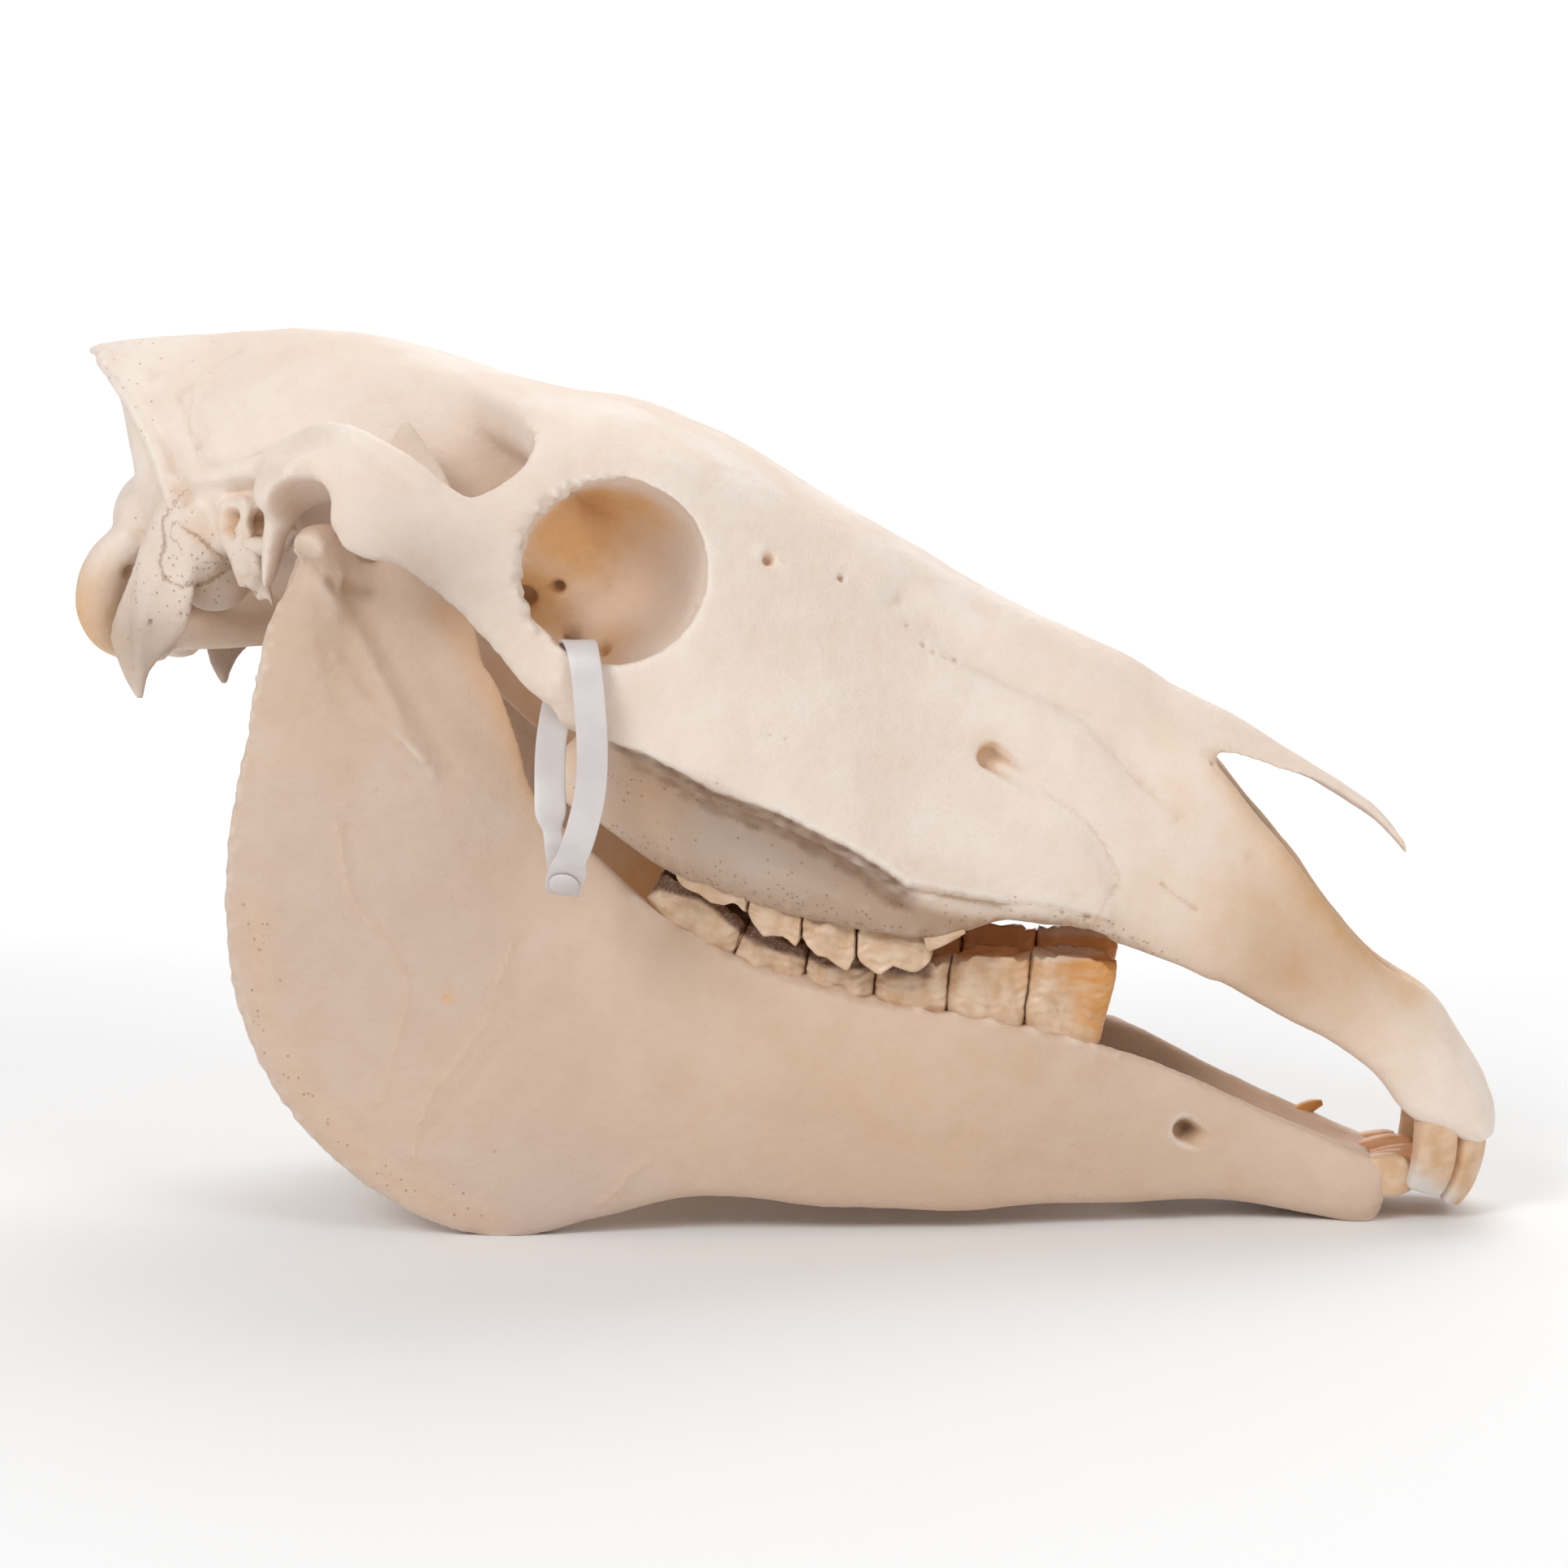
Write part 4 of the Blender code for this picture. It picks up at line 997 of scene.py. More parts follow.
# What colours the bone: grease with painted glow, thick grease, painted shade in hollows and creases, worn
# edges with painted light, dirt with painted shade, pores and seams.
GREASE_AND_PAINTED_GLOW, THICK_GREASE = colour(228, 178, 124), colour(196, 126, 70)
HOLLOW_SHADE, CREASE_SHADE, WORN_AND_PAINTED_LIGHT = colour(222, 180, 140), colour(196, 156, 118), colour(247, 238, 226)
DIRT_AND_SHADE, PORE, SEAM = colour(126, 95, 72), colour(170, 130, 96), colour(146, 106, 74)


def bone_paint(name, light, deep, patch, dull_and_shade_tint):
    """Bleached bone: `light` and `deep` drift into each other, with patches of `patch`. It is amber where it
    is marked `amber`, for grease and painted glow. It takes the last colour given, a dull tone that also
    paints shade, where the dull mark is, and is dirty and shaded where the grime mark is. Painted shade
    makes it browner in hollows and creases, and worn edges and painted light make it paler."""
    made, tree, bsdf = new_paint(name)
    place = place_in_mm(tree)
    grain = node(tree, "Group", node_tree=GRAIN_GROUP)
    tree.links.new(place, grain.inputs["Place"])
    tree.links.new(marked(tree, "porous"), grain.inputs["Porous"])
    line = node(tree, "Group", node_tree=LINE_GROUP)
    tree.links.new(place, line.inputs["Place"])
    tree.links.new(marked(tree, "seam"), line.inputs["Distance"])
    tree.links.new(marked(tree, "seam_shown"), line.inputs["Shown"])
    line.inputs["Half width"].default_value = 0.8
    mottle, patches, pores, height = grain.outputs
    near, wide = marked(tree, "near_depth"), marked(tree, "wide_depth")
    amber = sums(tree, "MULTIPLY", marked(tree, "amber"), ramp(tree, patches, 0.0, 1.0, 0.9, 1.08))
    grime = sums(tree, "MULTIPLY", marked(tree, "grime"), ramp(tree, mottle, 0.0, 1.0, 0.88, 1.08))
    tone = blend(tree, mottle, light, deep)
    for share, tint in (
        (sums(tree, "MULTIPLY", patches, 0.2), patch),
        (marked(tree, "chalk"), dull_and_shade_tint),
        (node(tree, "Clamp", {"Value": amber}).outputs[0], GREASE_AND_PAINTED_GLOW),
        (ramp(tree, amber, 0.9, 2.0), THICK_GREASE),
        # Painted shade: browner where the surface lies deep below its surroundings, over a few cm.
        (ramp(tree, wide, 0.8, 9.0, 0.0, 0.5), HOLLOW_SHADE),
        # Painted shade: browner in creases a few mm deep.
        (ramp(tree, near, 0.05, 0.6, 0.0, 0.55), CREASE_SHADE),
        # Worn edges and painted light: paler where the surface stands out, and where painted light spots are
        # marked.
        (ramp(tree, near, -0.1, -0.7, 0.0, 0.4), WORN_AND_PAINTED_LIGHT),
        # Dirt, and painted shade in recesses and under overhangs.
        (grime, DIRT_AND_SHADE),
        (sums(tree, "MULTIPLY", pores, 0.35), PORE),
        (sums(tree, "MULTIPLY", line.outputs[0], 0.8), SEAM),
    ):
        tone = blend(tree, share, tone, tint)
    tree.links.new(tone, bsdf.inputs["Base Color"])
    rough_share = ramp(tree, mottle, 0.0, 1.0, 0.46, 0.6)
    tree.links.new(sums(tree, "MULTIPLY_ADD", pores, 0.3, rough_share), bsdf.inputs["Roughness"])
    height = sums(tree, "MULTIPLY_ADD", line.outputs[0], -0.5, height)
    bump = node(tree, "Bump", {"Height": height, "Distance": 0.001, "Strength": 0.8})
    tree.links.new(bump.outputs[0], bsdf.inputs["Normal"])
    bsdf.inputs["Specular IOR Level"].default_value = 0.4
    return made


bone = bone_paint(
    "dry_bone",
    colour(243, 228, 215),
    colour(238, 218, 202),
    colour(231, 204, 180),
    colour(190, 164, 143),
)

# Slow unevenness of all bone: size of the waves, height, seed.
BONE_WAVES = [(26.0, 0.75, 11), (10.0, 0.26, 12), (4.0, 0.08, 13)]
# Most triangles in the finished mesh of each bone.
MOST_TRIANGLES = 190000

fill_creases(cranium_skin, 36, cranium_share)
even_out(cranium_skin, 110, inside_orbit)
carve(
    cranium_skin,
    cranium_rough_edges,
    BONE_WAVES,
    folds=CRANIUM_FOLDS,
    ledges=CRANIUM_LEDGES,
    cracks=CRANIUM_CRACKS,
    pits=CRANIUM_PITS,
    knobs=CRANIUM_KNOBS,
    burrows=CRANIUM_BURROWS,
)
cranium = thinned(cranium_skin, "cranium_bone", MOST_TRIANGLES)
# Lines between bones that show as colour alone, seen from the side, and the least |y| they reach.
FAINT_SEAMS = [
    ([(-199, 283), (-198, 276.5), (-196, 270), (-192, 264)], 12),
    ([(96, 146), (106, 139), (112, 130), (117, 120), (112, 112), (109, 106)], 30),
]
# The thin edge beside the nose's opening, painted amber for the warm light that comes through it.
NOTCH_EDGE = [(150, 155), (171, 126), (192, 100), (215, 79)]
# Heights along x where the plate under the facial crest starts, which is painted dull and shaded.
PLATE_TOP = [(-60, 178), (-7, 155), (18, 141), (46, 118), (110, 108)]
# Soft spots, each (x, |y|, z, radius, strength): painted light on parts in shade, painted light on the
# nose's inner wall, greasy, greasy in the eye sockets, dirt and painted shade, and porous.
PAINTED_LIGHT_SPOTS = [
    (-28, 57, 213, 30, 1.0), (-60, 44, 195, 10, 0.7), (-78, 52, 254, 18, 0.9), (-148, 78, 238, 12, 1.0),
]
NOSE_WALL_LIGHT_SPOTS = [(150, 12, 146, 16, 1.0), (168, 12, 124, 16, 1.0), (186, 10, 102, 16, 1.0)]
AMBER_SPOTS = [
    (-84, 34, 212, 9, 1.0), (-134, 84, 247, 8, 0.8), (-142, 82, 243, 7, 0.9), (-240, 28, 208, 22, 1.15),
    (-166, 60, 239, 7, 1.0), (-177, 58, 241, 6, 0.7), (-195, 30, 218, 20, 0.4), (-160, 0, 208, 44, 0.7),
    (-90, 20, 165, 50, 0.7), (140, 0, 130, 40, 0.3), (220, 0, 40, 14, 0.9), (176, 24, 92, 44, 0.65),
    (65, 52, 104, 16, 0.25), (-38, 64, 150, 16, 0.4), (-90, 40, 247, 14, 0.35), (-75, 58, 262, 5, 0.5),
    (-186, 15, 184, 16, 1.0), (130, 34, 104, 34, 0.25), (-176, 54, 220, 5, 0.6), (-219, 42, 224, 4, 1.0),
    (3.7, 67, 227, 2.5, 0.9), (73, 43, 162.5, 5.5, 0.9), (-190, 56, 238, 5, 0.35), (-212, -20, 200, 18, 0.3),
]
ORBIT_AMBER_SPOTS = [
    (-66, 50, 244, 26, 1.45), (-82, 36, 214, 14, 1.2), (-56, 44, 198, 10, 0.8), (-42, 48, 250, 18, 1.0),
    (-58, 46, 224, 15, 0.7),
]
GRIME_AND_SHADE_SPOTS = [
    (-214, 47, 203, 20, 0.48), (-217, 46, 191, 8, 0.4), (-101, 98, 222, 26, 0.46), (-219, 42, 224, 4, 0.5),
    (-203, 52, 236, 16, 0.14), (-66, 50, 246, 20, 0.2), (62, 54, 105, 16, 0.32), (-80, 38, 212, 10, 0.3),
    (-166, 10, 206, 40, 0.5), (-191, 38, 218, 12, 0.5), (176, 24, 90, 36, 0.32), (110, 38, 100, 30, 0.1),
    (-247, 22, 200, 12, 0.1), (-191, 10, 187, 12, 0.4), (-160, 60, 236, 12, 0.2), (140, 27, 108, 26, 0.06),
]
POROUS_SPOTS = [(-196, 56, 222, 22, 0.8), (-230, 20, 290, 26, 0.3)]

points, out = millimetres(cranium.data), outward(cranium.data)
x, y, z = points.T
wide = np.abs(y)
open_seams = [(line, least) for line, _, _, least in CRANIUM_CRACKS[:2]]
seam, seam_shown = seams(points, out, (0.45, open_seams), (0.13, FAINT_SEAMS))
near_depth, wide_depth = depths(cranium.data)
orbit = inside_orbit(points)
# Painted light: where these spots lie in shade, the colour is made pale, and the painted hollow shade is
# taken off them and the nose's inner wall.
painted_light = around(points, *PAINTED_LIGHT_SPOTS)
near_depth = np.maximum(near_depth, -0.8 + 0.7 * orbit) - 0.8 * painted_light
wide_depth = wide_depth * (1 - 0.9 * np.maximum(painted_light, around(points, *NOSE_WALL_LIGHT_SPOTS)))
margin = along([(row[0], row[2]) for row in FACE["sockets"]], x)[:, 0]
alveolus = step_up(-z + margin, -12, 0) * step_up(x, -45, -35)
alveolus = alveolus * (1 - step_up(x, 130, 150)) * step_up(wide, 20, 30)
plate = step_up(along(PLATE_TOP, x)[:, 0] - z, -1, 4)
plate *= step_up(x, -70, -40) * (1 - step_up(x, 90, 130)) * step_up(wide, 30, 50)
orbit_amber = np.clip(around(points, *ORBIT_AMBER_SPOTS) + 0.3 * step_up(-x, 24, 60), 0, 1.6)
amber = np.maximum(around(points, *AMBER_SPOTS), orbit * orbit_amber)
# Painted glow: the thin edge beside the nose's opening is painted amber for the warm light through it.
amber += 0.35 * bell(from_line(x, z, NOTCH_EDGE), 0, 5)
# Painted shadow: a dark, rough band on the strip under the facial crest, darkest right under its edge.
by_crest = step_up(from_line(x, z, CRANIUM_LEDGES[0][0]), -4, -1)
crest_shadow = under_crest(points) * (0.55 + 0.3 * rough(points, 3.0, 41) + 0.25 * by_crest)
# Dirt and painted shade in spots, and painted shade over the plate under the facial crest.
dirt_and_shade = around(points, *GRIME_AND_SHADE_SPOTS) + 0.13 * plate
# The hook and the condyle on the left are darker.
dirt_and_shade += 0.2 * step_up(y, 10, 30) * step_up(-x, 170, 185) * step_up(-z, -225, -212)
mark(
    cranium,
    seam=seam,
    seam_shown=seam_shown,
    near_depth=near_depth,
    wide_depth=wide_depth,
    amber=amber,
    grime=np.maximum(crest_shadow, dirt_and_shade),
    # A dull tone that also paints shade over the plate under the facial crest, and a little over the tooth
    # sockets' bone.
    chalk=np.clip(plate * (0.7 + 0.3 * step_up(x, -10, 35)) + 0.25 * alveolus, 0, 1),
    porous=np.clip(0.8 * alveolus + 0.3 * plate + around(points, *POROUS_SPOTS), 0, 1),
)
cranium.data.materials.clear()
cranium.data.materials.append(bone)
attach(cranium, "root")
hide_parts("cranium")


# ---------------------------------------------------------------- mandible
# The lower jaw: two plates of bone grown together at the chin, each with a joint knob and a thin blade
# behind. It is fused, filled and carved as the cranium is, and stands flat on its two angles and its chin.

# Each half: upper or front edge, lower or hind edge, thicknesses, from the joint down and on to the chin.
JAW = [
    (-128, 66, 227, -150, 70, 235, 8, 10, 10),
    (-118, 65, 218, -156, 72, 218, 7, 10, 11),
    (-102, 64, 206, -164, 73, 194, 6, 9, 12),
    (-88, 61, 188, -172, 71, 164, 6, 8, 13),
    (-81, 59, 168, -179, 68, 134, 7, 8, 13),
    (-77, 57, 152, -181, 66, 106, 8, 8, 14),
    (-68, 54, 140, -177, 64, 73, 10, 9, 15),
    (-54, 52, 126, -160, 62, 40, 14, 10, 16),
    (-42, 49, 114, -128, 60, 12, 20, 12, 16),
    (-28, 46, 104, -92, 58, -0.8, 22, 16, 15),
    (-12, 44, 95, -58, 55, 6, 22, 20, 15),
    (14, 41, 86, -25, 51, 13, 22, 22, 15),
    (36, 39, 80, 19, 46, 9, 22, 22, 15),
    (62, 36, 73, 55, 41, 7, 20, 21, 15),
    (88, 33, 68, 88, 35, 8, 18, 19, 15),
    (114, 29, 61, 116, 29, 8, 12, 16, 14),
    (130, 25, 55, 136, 24, 8, 8, 15, 15),
    (150, 21, 45, 154, 19, 7, 8, 17, 18),
    (177, 18, 33, 180, 15, 2, 9, 19, 20),
    (197, 18, 24.5, 198, 14, -1, 14, 21, 20),
    (205, 16, 21.5, 205, 12, 3.5, 15, 19, 16),
]
# The blade in front of each joint: front edge, hind edge, thicknesses, from its root up.
CORONOID = [
    (-92, 61.5, 194, -134, 67, 212, 6, 9, 9),
    (-96, 60.5, 212, -129, 65, 224, 5, 8, 8),
    (-100, 60, 230, -124, 62, 236, 5, 7, 6),
    (-100.5, 60, 248, -124, 61, 251, 5, 6, 5),
    (-105, 60, 259, -124, 61, 263, 5, 5, 5),
    (-111.5, 60, 269, -120.5, 60.5, 271, 3.8, 4.2, 3.6),
    (-114.5, 60, 274.5, -117.5, 60.2, 275, 2.2, 2.4, 2.2),
]


def jaw_halves():
    """Both halves, their blades and joint knobs with the necks below them, and the chin that joins them."""
    knob = limb(
        [(-144, 56, 231, 5, 4), (-142, 61, 233.5, 8, 6), (-141, 72, 234.5, 8.5, 6.5),
         (-141, 84, 234.5, 8, 6), (-143, 91, 232, 6, 5)],
        side=(1, 0, 0),
    )
    neck = limb(
        [(-141, 76, 233, 13, 7), (-143, 75, 222, 10, 9), (-147, 73, 208, 6, 13), (-150, 72, 196, 3, 14)]
    )
    chin = limb(
        [(118, 0, 15, 3, 2), (126, 0, 16, 9, 5), (138, 0, 17, 14, 8), (165, 0, 16, 18, 10),
         (190, 0, 13, 18, 10), (203, 0, 13.5, 16, 8)]
    )
    return [*mirrored(ribbon(JAW, count=40), ribbon(CORONOID), knob, neck), chin]


# Long soft forms of the mandible's sides, as for the cranium: line, half width, height, least |y|.
MANDIBLE_FOLDS = [
    ([(-139, 219), (-132, 205), (-117.5, 172), (-110, 158)], 3.6, 1.3, 50),
    ([(-134, 221), (-126, 204), (-112, 174), (-104, 160)], 4.0, -1.2, 50),
    ([(-139, 197), (-131, 182), (-112.6, 163)], 1.8, 0.8, 50),
    ([(-142, 190), (-134, 175), (-118, 156)], 2.6, -0.9, 50),
    ([(-152, 210), (-143, 192), (-128, 170), (-116, 150)], 3.0, 0.6, 50),
    ([(-143, 222), (-141, 210), (-138, 197), (-131, 184)], 6.5, -2.0, 50),
    ([(-157, 223), (-159, 209), (-162, 194), (-166, 178)], 3.6, 1.0, 50),
    ([(-138, 140), (-136, 123), (-128, 104), (-118, 90)], 2.4, -0.5, 50),
    ([(-82, 101), (-85, 72), (-102, 49), (-116, 35)], 2.6, -0.5, 50),
    ([(-173.3, 153), (-178.7, 128), (-179.2, 102), (-175.8, 81), (-169, 59), (-157, 40), (-142.7, 23.4),
      (-126, 11.3), (-105, 2.5)], 3.0, 0.4, 50),
    ([(-150, 222), (-158, 200), (-166, 172), (-172, 140), (-173, 105), (-168, 76), (-152, 50), (-128, 28),
      (-100, 16)], 3.4, -0.6, 50),
    ([(-60, 100), (-20, 60), (40, 45), (100, 38)], 12.0, 0.9, 30),
    ([(-146, 229), (-137, 222), (-128, 219)], 3.2, -1.6, 60),
    ([(-44, 114), (-26, 102), (-13, 93), (9, 84), (34, 77), (59, 73), (84, 69), (107, 62), (115, 59)],
     2.2, 0.9, 20),
]
# Thin raised scars where the chewing muscle held on: line, half width, height, least |y|.
MANDIBLE_SCARS = [
    ([(-141.6, 140.3), (-140.7, 131.9), (-139.8, 123.3), (-137.1, 113), (-131.5, 107.2), (-126.5, 101.7),
      (-123.5, 94.3), (-120.4, 88), (-120.4, 80.5), (-123, 72), (-125.6, 63.4)], 0.9, 0.5, 50),
    ([(-84.9, 102.1), (-86.6, 94.7), (-90.6, 86.1), (-92.3, 79.9), (-93.9, 73.4), (-99.2, 67.2),
      (-105.9, 58.1), (-113.5, 49), (-117.2, 39.5), (-119.4, 28.9)], 0.9, 0.5, 50),
    ([(-126.9, 57.8), (-128.8, 48.1), (-133.7, 45.9)], 1.0, 0.4, 50),
    ([(-57.4, 11.9), (-52, 16), (-48.8, 21.5), (-40, 27)], 1.2, 0.5, 50),
]
BORDER_SCAR = [
    (-170, 112), (-169.2, 98.2), (-169, 81), (-166, 70.4), (-163.3, 63.3), (-158, 55.3), (-150, 43.3),
    (-140.6, 32.7), (-129.2, 21.9), (-116.6, 14.3), (-106.2, 9.9), (-93.5, 6.7),
]
# The thin edge in front of each upright plate.
FRONT_BORDER = [(-104, 212), (-88, 188), (-81, 168), (-77, 152), (-66, 138)]
# The rough hind border, from the joint down and forward: height, x.
HIND_BORDER = [
    (4, -110), (12, -128), (40, -160), (73, -177), (106, -181), (134, -179), (164, -172), (194, -164),
    (218, -156), (235, -150),
]
# Height along x of the edge that holds the cheek teeth, and the points of bone between them: x, height.
SOCKET_EDGE = [(-42, 114), (-28, 104), (-12, 95), (14, 86), (36, 80), (62, 73), (88, 68), (114, 61)]
SOCKET_POINTS = [
    (101.5, 2.0), (87, 1.6), (73.8, 1.9), (60.3, 1.6), (48, 1.7), (35.6, 1.3), (24, 1.4), (12.5, 1.0),
]
# Holes, pits and knobs, as for the cranium.
MANDIBLE_BURROWS = [((138.4, 33.2), (148, 27.6), 3.2, 6.5)]
MANDIBLE_PITS = [
    ((-107.4, 62, 82), 0.9, 0.9),
    ((-163, 73, 188), 0.9, 0.9),
    ((-137, 71, 160), 0.9, 0.9),
    ((-128, 68, 152), 0.8, 0.8),
    ((-92, 63, 30), 1.1, 0.8),
    ((-60, 60, 33), 0.9, 0.6),
    ((100, 32, 62), 1.0, 0.8),
    ((112, 31, 58), 1.1, 0.9),
    ((128, 28, 50), 0.9, 0.8),
    ((205, 24, 6), 1.2, 1.2),
]
MANDIBLE_KNOBS = [
    ((-141, 91, 234), 5.0, 0.8),
    ((197, 24, 8), 4.0, 0.5),
]


def mandible_rough_edges(points, _):
    """Height in mm of worn edges, each a bell or step times noise: the porous hind border with its scar, the
    tooth sockets' margin with points between the teeth, and the chin."""
    x, y, z = points.T
    border = along(HIND_BORDER, z)[:, 0]
    lip = bell(x - border, 2, 5.0) * step_up(z, 8, 20)
    gum = along(SOCKET_EDGE, x)[:, 0]
    socket = bell(z, gum, 3.0) * step_up(x, -40, -34) * (1 - step_up(x, 112, 120))
    swayed = x + 0.8 * rough(points, 3.0, 23)
    between = sum(tall * bell(swayed, place, 3.6) for place, tall in SOCKET_POINTS)
    between *= bell(z - gum, 0.5, 2.4) * step_up(np.abs(y), 26, 32)
    chin = step_up(x, 190, 200) * step_up(np.abs(y), 12, 18)
    fine, finer_still = rough(points, 3.2, 21), rough(points, 1.9, 22)
    scar = bell(from_line(x, z, BORDER_SCAR), 0, 2.0) * step_up(np.abs(y), 50, 56)
    lip = lip + scar * (0.9 + 0.6 * finer_still)
    height = between + lip * (0.45 * fine + 0.3 * finer_still)
    return height + socket * (0.5 * fine - 0.2) + 0.35 * chin * fine


def mandible_share(points):
    """How much the creases are filled: all the way, but little behind the joint knob."""
    x, _, z = points.T
    return 1 - 0.6 * np.exp(-((x + 140) ** 2 + (z - 226) ** 2) / 150)


mandible_skin = settled(fused("mandible", jaw_halves()))
fill_creases(mandible_skin, 30, mandible_share)
carve(
    mandible_skin,
    mandible_rough_edges,
    BONE_WAVES,
    folds=MANDIBLE_FOLDS,
    ledges=[],
    cracks=MANDIBLE_SCARS,
    pits=MANDIBLE_PITS,
    knobs=MANDIBLE_KNOBS,
    burrows=MANDIBLE_BURROWS,
)
# What hangs below the floor is pressed flat, so the jaw stands on its angles and its chin.
resting = millimetres(mandible_skin)
resting[:, 2] = np.maximum(resting[:, 2], -SHIFT[2])
put_back(mandible_skin, resting)
mandible = thinned(mandible_skin, "mandible_bone", MOST_TRIANGLES)
points, out = millimetres(mandible.data), outward(mandible.data)
x, y, z = points.T
near_depth, wide_depth = depths(mandible.data)
# Painted light: the tip of the jaw's blade, in shade behind the arch, is painted pale.
near_depth = near_depth - 0.9 * around(points, (-112, 60, 264, 15, 1.0))
# Painted light: the painted hollow shade is taken off the inner side of the jaw behind the front teeth,
# which lies in shade.
wide_depth = wide_depth * (1 - around(points, (118, 16, 52, 18, 1.0), (142, 10, 44, 18, 1.0)))
hind_border = bell(from_line(x, z, BORDER_SCAR), 0, 5)
scars = sum(bell(from_line(x, z, line), 0, 1.6) for line, _, _, _ in MANDIBLE_SCARS)
amber = 0.5 * bell(from_line(x, z, FRONT_BORDER), 0, 6) + 0.12 * scars + 0.15 * hind_border
# The inner side of the upright plates is painted amber all over, a painted glow of warm light through the
# thin bone in their shade.
amber += (1 - step_up(np.abs(y), 44, 54)) * (1 - step_up(x, -44, -20))
amber += around(points, (-107, 62, 82, 2.2, 0.8), (40, 45, 40, 60, 0.2), (140, 28, 32, 4, 0.6))
# Spots painted darker: near the joint, along the body and in the hole by the chin.
grime_spots = [
    (-140, 66, 206, 9, 0.1), (100, 30, 40, 40, 0.06), (-130, 60, 218, 8, 0.2), (139.5, 25, 32.8, 4, 1.0),
]
mark(
    mandible,
    seam=np.full(len(x), 99.0),
    seam_shown=np.zeros(len(x)),
    near_depth=near_depth,
    wide_depth=wide_depth,
    amber=np.clip(amber, 0, 1),
    # A duller, darker tone on the ramus and low along the jaw.
    chalk=around(points, (-130, 70, 110, 60, 0.5), (-70, 55, 4, 46, 0.8), (20, 45, 4, 46, 0.6)),
    grime=around(points, *grime_spots),
    porous=0.4 * hind_border,
)
jaw_bone = bone_paint(
    "dry_jaw_bone",
    colour(219, 194, 174),
    colour(214, 186, 163),
    colour(201, 164, 133),
    colour(204, 181, 167),
)
mandible.data.materials.clear()
mandible.data.materials.append(jaw_bone)
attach(mandible, "root")
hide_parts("mandible")


# ---------------------------------------------------------------- cheek teeth
# Tall crowns of enamel folded round dentine, set in the bone: four upper ones a side, as two have fallen
# out, and six lower ones. Each is a ring carried from root to edge, then in over its grinding face.

# Middle of each row, as its distance from the midline along x.
UPPER_ROW = [(-40, 44), (0, 45), (40, 43.5), (66, 40.5), (93, 35.5), (118, 29)]
LOWER_ROW = [(-44, 45), (0, 40), (60, 33), (120, 27)]
# Height along x of the line where the crowns come out of the bone, and of their edges on the cheek side.
UPPER_GUM = [
    (-34, 126), (-18.5, 119.4), (-7, 115.4), (3.5, 111), (14, 108), (22.5, 105.5), (31, 103), (43, 101),
    (58, 101.5),
]
UPPER_EDGE = [
    (-32, 123), (-28, 118.5), (-23, 116.5), (-18.5, 113.5), (-14.5, 112.5), (-10.5, 113), (-7.5, 110.5),
    (-6, 109), (-4, 106), (-1.5, 102.5), (4, 102.5), (7, 101), (10, 99), (11.5, 101), (14, 98.5),
    (17, 95.5), (21, 94.5), (24, 92), (27, 90.8), (29.2, 94), (33, 91.8), (38, 89.2), (40, 90.5),
    (43.5, 92.6), (46, 90.8), (49, 89.8), (52.5, 91.5), (55.5, 95),
]
LOWER_GUM = [
    (-44, 117), (-40, 114), (-26, 104.3), (-13, 95.1), (-1, 90.1), (9, 86.4), (20.7, 82.4), (34, 79.3),
    (47, 76.7), (59, 75.3), (72, 72.2), (84, 71.1), (96, 69), (107.5, 64.3), (115, 61.7),
]
LOWER_EDGE = [
    (-44, 120), (-36, 121.5), (-25, 119), (-8, 106.5), (14, 97), (37, 93), (50, 92), (61, 91.3),
    (66, 92.6), (74, 93.6), (81, 92.8), (87, 92.0), (90, 92.9), (100, 92.8), (110, 91), (116, 88),
]
# Each crown from the front of the row: its front and back at its edge, its front and back at the bone.
UPPER_CHEEK = [
    (54.5, 30, 56, 30.3), (29.2, 11.3, 29.8, 12.6), (10.8, -6.1, 12.2, -5.8), (-6.6, -30, -6.3, -31.5),
]
LOWER_CHEEK = [
    (116, 87.4, 109.5, 84.8), (86.9, 60.6, 84.4, 58.9), (60.2, 36, 58.5, 34.3), (35.4, 13.4, 33.8, 11.5),
    (12.9, -6.3, 11, -12), (-7, -36, -12.6, -41),
]
# Half widths across the upper and the lower crowns.
UPPER_HALF, LOWER_HALF = 10.6, 7.4
# Share of a crown's rings that lies inside the bone, and how deep these go.
ROOT_SHARE, ROOT_DEPTH = 0.3, 14
# How far the rings over a grinding face have drawn in towards its middle.
FACE_STEPS = [0.97, 0.92, 0.85, 0.76, 0.66, 0.55, 0.44, 0.32, 0.2, 0.08]


